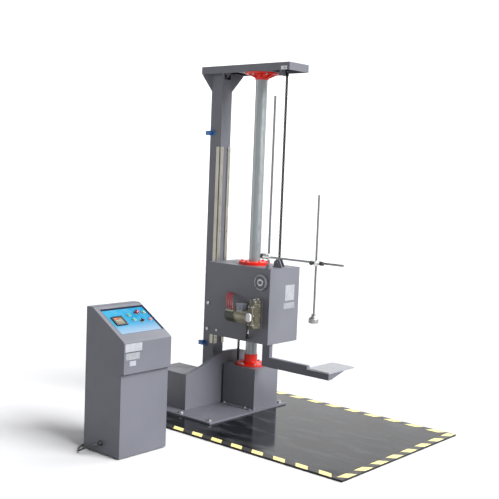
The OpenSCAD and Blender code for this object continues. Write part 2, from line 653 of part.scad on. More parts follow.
// The worm gearbox on the carriage's flank, its worm along X and its hollow shaft along Y.
module release_gearbox() color([0.45, 0.44, 0.32]) difference() {
    union() {
        span([151, -car_y - 8, worm_z - 67], [207, -car_y, worm_z + 125]);
        hull() {
            span([box_x0, -232, worm_z - 54], [box_x1, -car_y - 7.9, worm_z + 90]);
            span([box_x0, -238, worm_z - 46], [box_x1 - 3, -car_y - 7.9, worm_z + 82]);
        }
        span([box_x0 + 2, -222, worm_z + 89], [box_x1 - 2, -car_y - 7.9, worm_z + 118]);
        span([box_x0 - 4, -228, worm_z - 64], [box_x1 + 3, -car_y - 7.9, worm_z - 53]);
        bar_y(crank_x, crank_z, -243, -237.9, 17, 64);
        bar_x(worm_y, worm_z, motor_x1, box_x0 + 1, 40, 64);
        bar_x(worm_y, worm_z, box_x1 - 1, box_x1 + 5, 24, 48);
        for (i = [0 : 4]) span([box_x1 - 1, -224, worm_z + 28 + i * 14], [box_x1 + 3, -168, worm_z + 33 + i * 14]);
    }
    bar_y(crank_x, crank_z, -202, -140, 10 + run_fit, 64);
}

module gearbox_bolts() color(bright) {
    for (y = [-214, -176]) {
        bar_x(y, worm_z + 106, box_x1 - 3, box_x1 + 4, 7, 6);
        translate([box_x1 - 9, y, worm_z + 117.5]) cylinder(r = 6.5, h = 6, $fn = 6);
    }
    for (z = [worm_z - 40, worm_z + 115]) bar_y(157, z, -car_y - 14, -car_y - 7.9, 5, 6);
}

module release_cap() color([0.95, 0.95, 0.95]) hull()
    for (z = [worm_z - 3, worm_z + 19]) bar_y(crank_x - 5, z, -252, -238, 17, 48);

module release_motor() color([0.74, 0.72, 0.64]) {
    bar_x(worm_y, worm_z, motor_x0, motor_x1, 38, 64);
    for (a = [0 : 19]) translate([0, worm_y, worm_z]) rotate([a * 18, 0, 0])
        span([motor_x0 + 6, -1.2, 36], [motor_x1 - 12, 1.2, 42]);
    bar_x(worm_y, worm_z, motor_x1 - 12, motor_x1, 43, 64);
}

module fan_cover() color([0.16, 0.17, 0.16]) difference() {
    union() {
        bar_x(worm_y, worm_z, -32, motor_x0, 43, 72);
        for (a = [0 : 15]) translate([0, worm_y, worm_z]) rotate([a * 22.5 + 11.25, 0, 0])
            span([-28, -2, 42], [motor_x0 - 6, 2, 45]);
        span([-25, -237, worm_z + 18], [35, -221, worm_z + 37]);
    }
    for (r = [12, 22, 32]) translate([-33, worm_y, worm_z]) rotate([0, 90, 0]) difference() {
        cylinder(r = r + 2, h = 3, $fn = 48);
        translate([0, 0, -1]) cylinder(r = r - 2, h = 6, $fn = 48);
    }
}

module terminal_box() color([0.62, 0.64, 0.68]) {
    span([54, -224, worm_z + 34], [96, -172, worm_z + 74]);
    span([51, -227, worm_z + 74], [99, -169, worm_z + 81]);
    bar_y(75, worm_z + 56, -233, -223.9, 8, 6);
}

lead_paths = [for (i = [0 : 3]) let (x = -18 + i * 15)
    [[x, -229, worm_z + 37.3], [x, -229, worm_z + 46], [x - 7, -228, worm_z + 65], [x - 19, -219, worm_z + 88],
        [x - 37, -200, worm_z + 108], [x - 54, -178, worm_z + 121], [x - 63, -162, worm_z + 126],
        [x - 65, -154, worm_z + 127], [x - 65, -148.8, worm_z + 127]]];
module release_leads() color([0.70, 0.10, 0.08]) for (p = lead_paths) tube(p, 5, 8);

// The hose hangs from the motor and bends in a quarter of a circle towards the wall.
hose_path = concat([[133, -205, worm_z - 43.3]], [for (a = [0 : 15 : 75])
    [133 - 49 * (1 - cos(a)), -205 + 56 * (1 - cos(a)), worm_z - 69 - 74 * sin(a)]], [[88, -153.5, worm_z - 142.8]]);
module release_hose() color(black) tube(hose_path, 7, 10);

module support_rod() color([0.70, 0.70, 0.71]) translate([rod_x, rod_y, car_top - 4.9])
    cylinder(r = rod_d / 2, h = 2021 - car_top + 4.9, $fn = 64);

module boss_a() color([0.66, 0.66, 0.67]) difference() {
    union() {
        translate([rod_x, rod_y, cross_z - 20]) cylinder(r = 14, h = 40, $fn = 64);
        bar_x(cross_y, cross_z, rod_x - 20, rod_x + 30, 13, 64);
        span([rod_x - 9, cross_y, cross_z - 10], [rod_x + 9, rod_y, cross_z + 10]);
        bar_x(rod_y, cross_z, rod_x - 30, rod_x, 9, 48);
    }
    translate([rod_x, rod_y, cross_z - 30]) cylinder(r = rod_d / 2 + run_fit, h = 60, $fn = 64);
    bar_x(cross_y, cross_z, rod_x - 40, rod_x + 40, thin_d / 2 + run_fit, 64);
    bar_x(rod_y, cross_z, rod_x - 40, rod_x - 8, 4 + run_fit, 32);
}

module star_knob(r, h, lobes) {
    difference() {
        cylinder(r = r, h = h, $fn = 60);
        for (i = [0 : lobes - 1]) rotate([0, 0, i * 360 / lobes]) translate([r + 2.5, 0, -1]) cylinder(r = 5, h = h + 2, $fn = 24);
    }
    translate([0, 0, h - eps]) cylinder(r1 = r * 0.6, r2 = r * 0.45, h = 2, $fn = 48);
}

module knob_a() color(black) {
    translate([rod_x - 32, rod_y, cross_z]) rotate([0, -90, 0]) star_knob(17, 26, 6);
    bar_x(rod_y, cross_z, rod_x - 33, rod_x - 8, 4, 32);
}

module cross_rod() color([0.70, 0.70, 0.71]) bar_x(cross_y, cross_z, 184, 798, thin_d / 2, 64);

module boss_b() color([0.66, 0.66, 0.67]) difference() {
    union() {
        bar_x(cross_y, cross_z, plunger_x - 36, plunger_x + 20, 12, 64);
        translate([plunger_x, plunger_y, cross_z - 16]) cylinder(r = 13, h = 32, $fn = 64);
        span([plunger_x - 9, plunger_y, cross_z - 9], [plunger_x + 9, cross_y, cross_z + 9]);
        bar_x(plunger_y, cross_z, plunger_x, plunger_x + 28, 8, 48);
        bar_y(plunger_x - 27, cross_z, cross_y - 22, cross_y, 8, 48);
    }
    bar_x(cross_y, cross_z, plunger_x - 40, plunger_x + 40, thin_d / 2 + run_fit, 64);
    translate([plunger_x, plunger_y, cross_z - 30]) cylinder(r = thin_d / 2 + run_fit, h = 60, $fn = 64);
    bar_x(plunger_y, cross_z, plunger_x + 7, plunger_x + 40, 3.5 + run_fit, 32);
    bar_y(plunger_x - 27, cross_z, cross_y - 40, cross_y - 7, 3.5 + run_fit, 32);
}

module knob_b() color(black) {
    translate([plunger_x - 27, cross_y - 24, cross_z]) rotate([90, 0, 0]) star_knob(13.5, 18, 6);
    bar_y(plunger_x - 27, cross_z, cross_y - 25, cross_y - 7, 3.5, 32);
}

module knob_c() color(black) {
    translate([plunger_x + 30, plunger_y, cross_z]) rotate([0, 90, 0]) star_knob(12, 22, 5);
    bar_x(plunger_y, cross_z, plunger_x + 7, plunger_x + 31, 3.5, 32);
}

module plunger_rod() color([0.70, 0.70, 0.71]) translate([plunger_x, plunger_y, 700])
    cylinder(r = thin_d / 2, h = 725, $fn = 64);

module plunger_foot() color([0.62, 0.63, 0.62]) translate([plunger_x, plunger_y, 661]) {
    rotate_extrude($fn = 96) polygon([[0, 0], [28, 0], [30, 2], [30, 22], [28, 26], [18, 36], [11, 42], [10, 52],
        [6.3, 55], [6.3, 39], [0, 39]]);
    translate([-10, 0, 46]) rotate([0, -90, 0]) cylinder(r = 3.5, h = 8, $fn = 24);
}

// The console's outline from its side.
function con_outline(t) = [[con_x0 + t, 6 + t], [con_x1 - t, 6 + t], [con_x1 - t, con_z0 - 6 + t], [con_x1 - t + 3, con_z0 + t],
    [con_lip - t - 3, con_z0 + t], [con_lip - t, con_z0 + 3 + t], [con_lip - t, con_z1 - 6 - t / 2],
    [con_lip - 6 - t, con_z1 + 3 - t], [con_top_x + 5, con_h - 3 - t], [con_top_x - 3, con_h - t], [con_x0 + t, con_h - t]];

module to_slope() translate([con_top_x, con_y0, con_h]) rotate([0, slope_a, 0]) children();

button_at = [[100, 180], [92, 241], [91, 294], [142, 189], [158, 235], [154, 297]];

module console_body() color(steel_grey) difference() {
    translate([0, con_y1, 0]) rotate([90, 0, 0]) linear_extrude(con_w) polygon(con_outline(0));
    translate([0, con_y1 - con_t, 0]) rotate([90, 0, 0]) linear_extrude(con_w - 2 * con_t) polygon(con_outline(con_t));
    to_slope() {
        for (p = button_at) translate([p[0], p[1], -20]) cylinder(r = 11.3, h = 40, $fn = 48);
        span([110, 52, -20], [168, 116, 20]);
    }
    translate([128, con_y0 - 1, 62]) rotate([-90, 0, 0]) cylinder(r = 10.4, h = 10, $fn = 48);
}

module control_panel() color([0.35, 0.62, 0.86]) to_slope() difference() {
    span([28, 29, 0], [240, 334, 1.2]);
    for (p = button_at) translate([p[0], p[1], -1]) cylinder(r = 11.3, h = 5, $fn = 48);
    span([110, 52, -1], [168, 116, 5]);
}

module panel_meter() color([0.10, 0.10, 0.11]) to_slope() difference() {
    union() {
        span([104, 46, 1.2], [174, 122, 9]);
        span([111, 53, -60], [167, 115, 1.3]);
    }
    span([112, 56, 5], [158, 112, 20]);
}

module meter_screen() color([0.80, 0.42, 0.20]) to_slope() {
    span([112.2, 56.2, 5], [157.8, 111.8, 6.5]);
    for (i = [0 : 4]) span([162, 58 + i * 11, 9], [168, 66 + i * 11, 10.5]);
}

module button_bezels() color([0.70, 0.71, 0.72]) to_slope() for (i = [0 : 5]) translate([button_at[i][0], button_at[i][1], 1.2])
    difference() {
        union() {
            cylinder(r = 14.5, h = 4, $fn = 48);
            translate([0, 0, -31]) cylinder(r = 11, h = 31.5, $fn = 48);
        }
        translate([0, 0, -6]) cylinder(r = 9.3, h = 40, $fn = 48);
        translate([0, 0, -20]) cylinder(r = 5.3, h = 40, $fn = 32);
    }

module push_cap(i) to_slope() translate([button_at[i][0], button_at[i][1], 1.2]) {
    translate([0, 0, -1]) cylinder(r = 9, h = 8, $fn = 48);
    translate([0, 0, -14]) cylinder(r = 5, h = 14, $fn = 32);
}

module button_start() color([0.10, 0.60, 0.25]) push_cap(0);

module button_lower() color([0.10, 0.60, 0.25]) push_cap(2);

module button_reset() color([0.10, 0.60, 0.25]) push_cap(3);

module button_lamp() color([0.85, 0.15, 0.12]) push_cap(5);

module stop_button() color([0.85, 0.08, 0.06]) to_slope() translate([button_at[1][0], button_at[1][1], 1.2]) {
    rotate_extrude($fn = 72) polygon([[0, 9], [17, 9], [19, 11], [19, 17], [16, 20], [9, 22], [0, 22.5]]);
    cylinder(r = 9, h = 10, $fn = 48);
    translate([0, 0, -14]) cylinder(r = 5, h = 15, $fn = 32);
}

module selector() color(black) to_slope() translate([button_at[4][0], button_at[4][1], 1.2]) {
    translate([0, 0, -1]) cylinder(r = 9, h = 7, $fn = 48);
    translate([0, 0, -14]) cylinder(r = 5, h = 14, $fn = 32);
    translate([0, 0, 5]) rotate([0, 0, 35]) span([-9, -3, 0], [9, 3, 10]);
}

module cable_gland() color(black) translate([128, con_y0, 62]) rotate([90, 0, 0]) difference() {
    union() {
        translate([0, 0, -12]) cylinder(r = 10, h = 13, $fn = 48);
        cylinder(r = 15, h = 8, $fn = 6);
        translate([0, 0, 7.9]) cylinder(r1 = 12, r2 = 9, h = 14, $fn = 48);
        translate([0, 0, -con_t - 7]) cylinder(r = 15, h = 7, $fn = 6);
    }
    translate([0, 0, -20]) cylinder(r = 5.4, h = 60, $fn = 32);
}

module console_feet() color(black) for (x = [con_x0 + 30, con_x1 - 30]) for (y = [con_y0 + 30, con_y1 - 30])
    translate([x, y, 0]) {
        cylinder(r = 18, h = 6, $fn = 48);
        translate([0, 0, 5.9]) cylinder(r = 5, h = 14, $fn = 24);
    }

// The lead leaves the gland, drops to the floor along the console's side and runs round behind it.
lead_path = [[128, con_y0 + 30, 62], [128, con_y0 - 24, 62], [127, con_y0 - 36, 61], [121, con_y0 - 52, 58],
    [108, con_y0 - 66, 52], [90, con_y0 - 74, 43], [68, con_y0 - 76, 32], [44, con_y0 - 73, 20],
    [22, con_y0 - 65, 10.5], [2, con_y0 - 52, 6], [-17, con_y0 - 36, 5.1], [-35, con_y0 - 16, 5.1],
    [-49, con_y0 + 8, 5.1], [-58, con_y0 + 36, 5.1], [-63, con_y0 + 74, 5.1], [-66, con_y0 + 124, 5.1],
    [-67, con_y0 + 184, 5.1], [-67, con_y0 + 234, 5.1], [-67, con_y0 + 269.5, 5.1]];
module power_lead() color(black) tube(lead_path, 5, 10);

coil_c = [-125, con_y0 + 304, 0];
module lead_coil() color(black) for (i = [0 : 5]) translate([coil_c[0], coil_c[1], 5 + i * 10])
    rotate_extrude($fn = 72) translate([58, 0]) circle(r = 5, $fn = 12);

plug_x = coil_c[0] - 68;
plug_y = coil_c[1] - 6.4;
module plug_body() color(black) {
    translate([plug_x, plug_y, 15]) rotate([90, 0, 0]) cylinder(r1 = 5, r2 = 11, h = 35.1, $fn = 32);
    span([plug_x - 16, plug_y - 87, 1], [plug_x + 16, plug_y - 35, 29]);
    span([plug_x - 14, plug_y - 85, 0], [plug_x + 14, plug_y - 37, 1.1]);
}

module plug_pins() color([0.75, 0.62, 0.30])
    for (x = [-8, 8]) translate([plug_x + x, plug_y - 87, 15]) rotate([90, 0, 0]) cylinder(r = 2.4, h = 18, $fn = 24);

module frame_bolts() {
    base_bolts();
    pedestal_bolts();
}

module flange_screws() {
    lower_screws();
    upper_screws();
}

module sprocket_axles() {
    top_axles();
    idler_axle();
    axle_cover();
}

module lift_gearmotor() {
    lift_motor();
    lift_gearbox();
}

module limit_switches() {
    limit_upper();
    limit_lower();
}

module carriage_axles() {
    roller_axles();
    pivot_shaft();
}

module chain_anchors() {
    chain_bracket();
    lower_anchor();
}

module impact_arm_pad() {
    arm_pad();
    pad_screws();
}

module worm_gearbox() {
    release_gearbox();
    gearbox_bolts();
    release_cap();
}

module arm_motor() {
    release_motor();
    fan_cover();
    terminal_box();
}

module motor_wiring() {
    release_leads();
    release_hose();
}

module plunger() {
    plunger_rod();
    plunger_foot();
}

module panel_fittings() {
    panel_meter();
    meter_screen();
    button_bezels();
}

module plug() {
    plug_body();
    plug_pins();
}

module console_case() {
    console_body();
    console_feet();
}

impact_plate();
hazard_tape();
base_plate();
frame_bolts();
pedestal();
lower_flange();
guide_column();
upper_flange();
flange_screws();
top_beam();
rear_post();
guide_strips();
arch_guard();
motor_cover();
lift_gearmotor();
drive_sprocket();
idler_sprocket();
rear_sprocket();
front_sprocket();
sprocket_axles();
chain_upper();
chain_lower();
chain_return();
limit_switches();
carriage_box();
carriage_flange();
carriage_bushes();
upper_roller();
lower_roller();
carriage_axles();
side_shoes();
chain_anchors();
pivot_bearings();
arm();
impact_arm_pad();
reset_crank();
worm_gearbox();
arm_motor();
motor_wiring();
support_rod();
boss_a();
knob_a();
cross_rod();
boss_b();
knob_b();
knob_c();
plunger();
console_case();
control_panel();
panel_fittings();
button_start();
button_lower();
button_reset();
button_lamp();
stop_button();
selector();
cable_gland();
power_lead();
lead_coil();
plug();
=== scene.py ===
"""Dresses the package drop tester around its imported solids: camera, studio, finishes and fine pieces."""

import logging
import math
from collections.abc import Iterable, Sequence
from dataclasses import dataclass
from enum import Enum

import bmesh
import bpy
from mathutils import Matrix, Vector


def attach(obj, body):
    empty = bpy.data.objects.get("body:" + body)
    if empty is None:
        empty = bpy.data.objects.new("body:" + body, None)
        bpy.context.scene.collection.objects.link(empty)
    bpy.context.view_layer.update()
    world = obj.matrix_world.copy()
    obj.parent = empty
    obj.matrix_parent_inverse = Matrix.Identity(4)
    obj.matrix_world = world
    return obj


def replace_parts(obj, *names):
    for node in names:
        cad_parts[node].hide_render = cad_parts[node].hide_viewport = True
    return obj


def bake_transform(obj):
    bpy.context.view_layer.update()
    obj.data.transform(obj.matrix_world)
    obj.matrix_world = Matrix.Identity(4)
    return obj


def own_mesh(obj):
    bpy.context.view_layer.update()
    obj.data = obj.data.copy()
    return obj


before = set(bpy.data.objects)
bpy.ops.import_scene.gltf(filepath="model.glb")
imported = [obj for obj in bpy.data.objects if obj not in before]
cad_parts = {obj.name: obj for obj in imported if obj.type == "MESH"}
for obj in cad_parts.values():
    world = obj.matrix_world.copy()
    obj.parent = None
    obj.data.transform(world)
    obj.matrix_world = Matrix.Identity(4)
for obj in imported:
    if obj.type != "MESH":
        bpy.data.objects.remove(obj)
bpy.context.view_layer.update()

LOG = logging.getLogger("drop_tester")
MM = 0.001

Colour = tuple[float, float, float, float]
Point = tuple[float, float, float]
Pair = tuple[float, float]
Socket = bpy.types.NodeSocket
Material = bpy.types.Material
Piece = bpy.types.Object
EVEN: Point = (1.0, 1.0, 1.0)


def srgb(red: int, green: int, blue: int) -> Colour:
    """Turns an 8-bit screen colour into the renderer's linear colour.

    Args:
        red: Red from 0 to 255.
        green: Green from 0 to 255.
        blue: Blue from 0 to 255.

    Returns:
        The linear colour with full opacity.
    """

    def linear(value: int) -> float:
        """Undoes the screen's curve for one channel."""
        share = value / 255
        return share / 12.92 if share <= 0.04045 else ((share + 0.055) / 1.055) ** 2.4

    return (linear(red), linear(green), linear(blue), 1.0)


def tinted(colour: Colour, gain: float) -> Colour:
    """Makes a colour lighter or darker.

    Args:
        colour: The colour to change.
        gain: What its red, green and blue are multiplied by.

    Returns:
        The changed colour.
    """
    return (*(min(1.0, channel * gain) for channel in colour[:3]), 1.0)


def placed(name: str, data: bpy.types.ID) -> Piece:
    """Puts new data in the scene as an object.

    Args:
        name: The object's name.
        data: Its mesh, light or camera.

    Returns:
        The object.
    """
    obj = bpy.data.objects.new(name, data)
    bpy.context.scene.collection.objects.link(obj)
    return obj


class Sum(Enum):
    """The kinds of arithmetic between two numbers of a pattern."""

    PLUS = "ADD"
    HIGHER = "MAXIMUM"
    BELOW = "LESS_THAN"
    ABOVE = "GREATER_THAN"


class Recipe:
    """Lays out the nodes of one procedural material."""

    def __init__(self, name: str) -> None:
        """Starts a material with one surface shader.

        Args:
            name: The material's name.
        """
        self.material = bpy.data.materials.new(name)
        self.material.use_nodes = True
        self.tree = self.material.node_tree
        self.tree.nodes.clear()
        self.shader = self.tree.nodes.new("ShaderNodeBsdfPrincipled")
        output = self.tree.nodes.new("ShaderNodeOutputMaterial")
        self.tree.links.new(self.shader.outputs["BSDF"], output.inputs["Surface"])
        self.place = self.tree.nodes.new("ShaderNodeTexCoord").outputs["Object"]

    def feed(self, socket: Socket, value: object) -> None:
        """Links a socket to another, or sets its own value."""
        if isinstance(value, Socket):
            self.tree.links.new(value, socket)
        else:
            socket.default_value = value

    def surface(self, **values: object) -> Material:
        """Sets the shader's sockets by their names in lower case.

        Args:
            values: Socket names, with _ for a space, and what feeds each.

        Returns:
            The finished material.
        """
        names = {socket.name.lower().replace(" ", "_"): socket for socket in self.shader.inputs}
        for name, value in values.items():
            self.feed(names[name], value)
        return self.material

    def node(self, kind: str, inputs: dict[str | int, object], **settings: object) -> bpy.types.Node:
        """Adds a node, sets it up and feeds its sockets.

        Args:
            kind: Blender's name of the node, without ShaderNode.
            inputs: What feeds each socket, by its name or place.
            settings: The node's own settings.

        Returns:
            The node.
        """
        node = self.tree.nodes.new(f"ShaderNode{kind}")
        for name, value in settings.items():
            setattr(node, name, value)
        for key, value in inputs.items():
            self.feed(node.inputs[key], value)
        return node

    def mapped(self, scale: Point, turn: Point = (0.0, 0.0, 0.0), shift: Point = (0.0, 0.0, 0.0)) -> Socket:
        """Gives the piece's own coordinates, stretched, turned and moved."""
        inputs = {"Vector": self.place, "Location": shift, "Rotation": turn, "Scale": scale}
        return self.node("Mapping", inputs, vector_type="POINT").outputs["Vector"]

    def noise(self, scale: float, detail: float = 3.0, stretch: Point = EVEN, rough: float = 0.5) -> Socket:
        """Gives a cloudy pattern from 0 to 1.

        Args:
            scale: Clouds in a metre.
            detail: Octaves of finer clouds.
            stretch: The pattern's frequency along each axis.
            rough: How strong the finer clouds are.

        Returns:
            The pattern.
        """
        inputs = {"Vector": self.mapped(stretch), "Scale": scale, "Detail": detail, "Roughness": rough}
        return self.node("TexNoise", inputs).outputs[0]

    def spangle(self, scale: float, stretch: Point = EVEN) -> Socket:
        """Gives a crystal pattern, one grey to each cell."""
        cells = self.node("TexVoronoi", {"Vector": self.mapped(stretch), "Scale": scale})
        return self.node("SeparateColor", {0: cells.outputs["Color"]}).outputs[0]

    def spread(
        self, value: Socket, low: float = 0.0, high: float = 1.0, start: float = 0.3, end: float = 0.7
    ) -> Socket:
        """Maps a pattern between start and end onto the numbers from low to high."""
        inputs = {"Value": value, "From Min": start, "From Max": end, "To Min": low, "To Max": high}
        return self.node("MapRange", inputs).outputs["Result"]

    def sum_of(self, first: object, second: object, kind: Sum = Sum.PLUS) -> Socket:
        """Joins two numbers by one kind of arithmetic."""
        return self.node("Math", {0: first, 1: second}, operation=kind.value).outputs[0]

    def mix(self, share: object, first: object, second: object) -> Socket:
        """Lays the second colour over the first, by a share from 0 to 1."""
        return self.node("Mix", {0: share, 6: first, 7: second}, data_type="RGBA").outputs[2]

    def shades(self, share: object, colour: Colour, dark: float, light: float) -> Socket:
        """Mixes two shades of one colour.

        Args:
            share: How much of the lighter shade shows.
            colour: The colour.
            dark: The darker shade's gain.
            light: The lighter shade's gain.

        Returns:
            The mixed colour.
        """
        return self.mix(share, tinted(colour, dark), tinted(colour, light))

    def blend(self, share: object, first: object, second: object) -> Socket:
        """Mixes two numbers."""
        return self.node("Mix", {0: share, 2: first, 3: second}, data_type="FLOAT").outputs[0]

    def split(self, vector: Socket) -> Sequence[Socket]:
        """Gives a vector's three numbers."""
        return self.node("SeparateXYZ", {0: vector}).outputs

    def inside(self, low: Point, high: Point) -> Socket:
        """Gives 1 inside a box of the piece's own coordinates and 0 outside it.

        Args:
            low: The box's low corner in metres.
            high: Its high corner in metres.

        Returns:
            The mask.
        """
        middle, half = (Vector(low) + Vector(high)) / 2, (Vector(high) - Vector(low)) / 2
        where = self.place
        for kind, other in (("SUBTRACT", {1: tuple(middle)}), ("DIVIDE", {1: tuple(half)}), ("ABSOLUTE", {})):
            where = self.node("VectorMath", {0: where, **other}, operation=kind).outputs["Vector"]
        x, y, z = self.split(where)
        return self.sum_of(self.sum_of(self.sum_of(x, y, Sum.HIGHER), z, Sum.HIGHER), 1.0, Sum.BELOW)

    def bump(self, height: Socket, strength: float, depth: float) -> Socket:
        """Turns a height pattern into a relief of that depth in metres."""
        inputs = {"Strength": strength, "Distance": depth, "Height": height}
        return self.node("Bump", inputs).outputs["Normal"]


@dataclass(frozen=True)
class Zone:
    """A part of a casting with another colour, as a box in the frame.

    Attributes:
        low: The box's low corner in metres.
        high: Its high corner in metres.
        colour: The colour there.
        rough: How matt it is.
        metallic: How metallic it is.
    """

    low: Point
    high: Point
    colour: Colour
    rough: float
    metallic: float = 0.0


@dataclass(frozen=True)
class Finish:
    """A finish that makes its material once.

    Attributes:
        name: The material's name.
        slot: The record's material slot for this finish; not used.
        colour: The main colour.
        rough: How matt the surface is, from 0 to 1.
    """

    name: str
    slot: str
    colour: Colour
    rough: float

    def look(self, recipe: Recipe) -> dict[str, object]:
        """Lays out the patterns.

        Args:
            recipe: Takes the nodes.

        Returns:
            What feeds each socket of the shader.
        """
        raise NotImplementedError

    def material(self) -> Material:
        """Gives the material, and makes it at the first use."""
        known = bpy.data.materials.get(self.name)
        if known:
            return known
        recipe = Recipe(self.name)
        return recipe.surface(**self.look(recipe))


@dataclass(frozen=True)
class MachinePaint(Finish):
    """Sprayed machine enamel with an orange peel and a little uneven tone."""

    peel: float = 0.10
    coat: float = 0.15

    def look(self, recipe: Recipe) -> dict[str, object]:
        """Lays out the enamel."""
        tone = recipe.shades(recipe.spread(recipe.noise(2.2, 4.0)), self.colour, 0.90, 1.10)
        scuff = recipe.spread(recipe.noise(26.0, 6.0, (1.0, 1.0, 0.35), 0.7), 0.0, 0.35, 0.60, 0.78)
        tone = recipe.mix(scuff, tone, tinted(self.colour, 1.30))
        return dict(
            base_color=tone,
            roughness=recipe.spread(recipe.noise(14.0, 3.0), self.rough - 0.06, self.rough + 0.08),
            coat_weight=self.coat,
            coat_roughness=0.30,
            specular_ior_level=0.30,
            normal=recipe.bump(recipe.noise(420.0, 2.0), self.peel, 0.0008),
        )


@dataclass(frozen=True)
class PlateEnamel(Finish):
    """Dark glossy plate that mirrors the machine, wiped and smudged."""

    haze: Colour = srgb(104, 106, 108)

    def look(self, recipe: Recipe) -> dict[str, object]:
        """Lays out the plate's enamel."""
        wiped = recipe.noise(1.6, 5.0, (0.55, 2.4, 1.0), 0.60)
        smudge = recipe.noise(5.0, 5.0, (0.7, 2.6, 1.0), 0.6)
        tone = recipe.shades(recipe.spread(wiped, start=0.40, end=0.70), self.colour, 1.0, 2.2)
        tone = recipe.mix(recipe.spread(smudge, 0.0, 0.30, 0.50, 0.80), tone, self.haze)
        matt = recipe.spread(wiped, self.rough - 0.03, self.rough + 0.06)
        return dict(
            base_color=tone,
            roughness=recipe.sum_of(matt, recipe.spread(smudge, 0.0, 0.18, 0.46, 0.8)),
            specular_ior_level=0.22,
            normal=recipe.bump(recipe.noise(2.2, 4.0, (0.8, 1.6, 1.0)), 0.05, 0.012),
        )


@dataclass(frozen=True)
class PlainSteel(Finish):
    """Bare or plated steel, brushed along one direction."""

    grain: Point = EVEN
    metallic: float = 1.0
    dirt: float = 0.3

    def look(self, recipe: Recipe) -> dict[str, object]:
        """Lays out the brushed metal."""
        brushed = recipe.noise(260.0, 4.0, self.grain, 0.65)
        stain = recipe.spread(recipe.noise(9.0, 5.0), 0.0, self.dirt, 0.48, 0.75)
        tone = recipe.shades(recipe.spread(brushed), self.colour, 0.82, 1.12)
        return dict(
            base_color=recipe.mix(stain, tone, tinted(self.colour, 0.45)),
            metallic=self.metallic,
            roughness=recipe.spread(brushed, self.rough - 0.08, self.rough + 0.12),
            normal=recipe.bump(brushed, 0.12, 0.0004),
        )


@dataclass(frozen=True)
class Galvanised(Finish):
    """Hot-dipped zinc with spangles and runs down the tube."""

    def look(self, recipe: Recipe) -> dict[str, object]:
        """Lays out the zinc coat."""
        crystals = recipe.spangle(70.0, (1.0, 1.0, 0.30))
        runs = recipe.noise(34.0, 4.0, (1.0, 1.0, 0.012), 0.55)
        lines = recipe.noise(120.0, 2.0, (1.0, 1.0, 0.006), 0.5)
        tone = recipe.shades(recipe.spread(crystals, start=0.0, end=1.0), self.colour, 0.92, 1.06)
        tone = recipe.mix(recipe.spread(runs, 0.0, 0.55, 0.44, 0.66), tone, tinted(self.colour, 0.62))
        tone = recipe.mix(recipe.spread(lines, 0.0, 0.35, 0.50, 0.62), tone, tinted(self.colour, 1.35))
        matt = recipe.spread(crystals, self.rough - 0.04, self.rough + 0.02, 0.0, 1.0)
        return dict(
            base_color=tone,
            metallic=0.85,
            roughness=recipe.sum_of(matt, recipe.spread(runs, 0.0, 0.10)),
            normal=recipe.bump(lines, 0.10, 0.0006),
        )


@dataclass(frozen=True)
class Casting(Finish):
    """Sand-cast or die-cast alloy with grime in its pores."""

    metallic: float = 0.6
    grime: Colour = (0.05, 0.045, 0.03, 1.0)
    zones: tuple[Zone, ...] = ()

    def look(self, recipe: Recipe) -> dict[str, object]:
        """Lays out the casting's skin."""
        grit = recipe.noise(380.0, 3.0, rough=0.7)
        film = recipe.noise(24.0, 5.0, rough=0.65)
        grain = recipe.spread(grit)
        tone = recipe.shades(grain, self.colour, 0.78, 1.14)
        tone = recipe.mix(recipe.spread(film, 0.0, 0.75, 0.48, 0.72), tone, self.grime)
        matt = recipe.spread(film, self.rough - 0.06, self.rough + 0.16)
        shine: object = self.metallic
        for zone in self.zones:
            mask = recipe.inside(zone.low, zone.high)
            tone = recipe.mix(mask, tone, recipe.shades(grain, zone.colour, 0.88, 1.08))
            matt = recipe.blend(mask, matt, zone.rough)
            shine = recipe.blend(mask, shine, zone.metallic)
        relief = recipe.bump(grit, 0.30, 0.0010)
        return dict(base_color=tone, metallic=shine, roughness=matt, normal=relief)


@dataclass(frozen=True)
class Moulded(Finish):
    """Moulded plastic or rubber with a fine skin texture."""

    skin: float = 0.12
    coat: float = 0.0
    glow: float = 0.0

    def look(self, recipe: Recipe) -> dict[str, object]:
        """Lays out the moulded skin."""
        cloud = recipe.noise(45.0, 3.0)
        values: dict[str, object] = {
            "base_color": recipe.shades(recipe.spread(cloud), self.colour, 0.86, 1.12),
            "roughness": recipe.spread(cloud, self.rough - 0.05, self.rough + 0.07),
            "coat_weight": self.coat,
            "coat_roughness": 0.12,
            "normal": recipe.bump(recipe.noise(900.0, 2.0), self.skin, 0.0005),
        }
        if self.glow:
            values["emission_color"] = self.colour
            values["emission_strength"] = self.glow
        return values


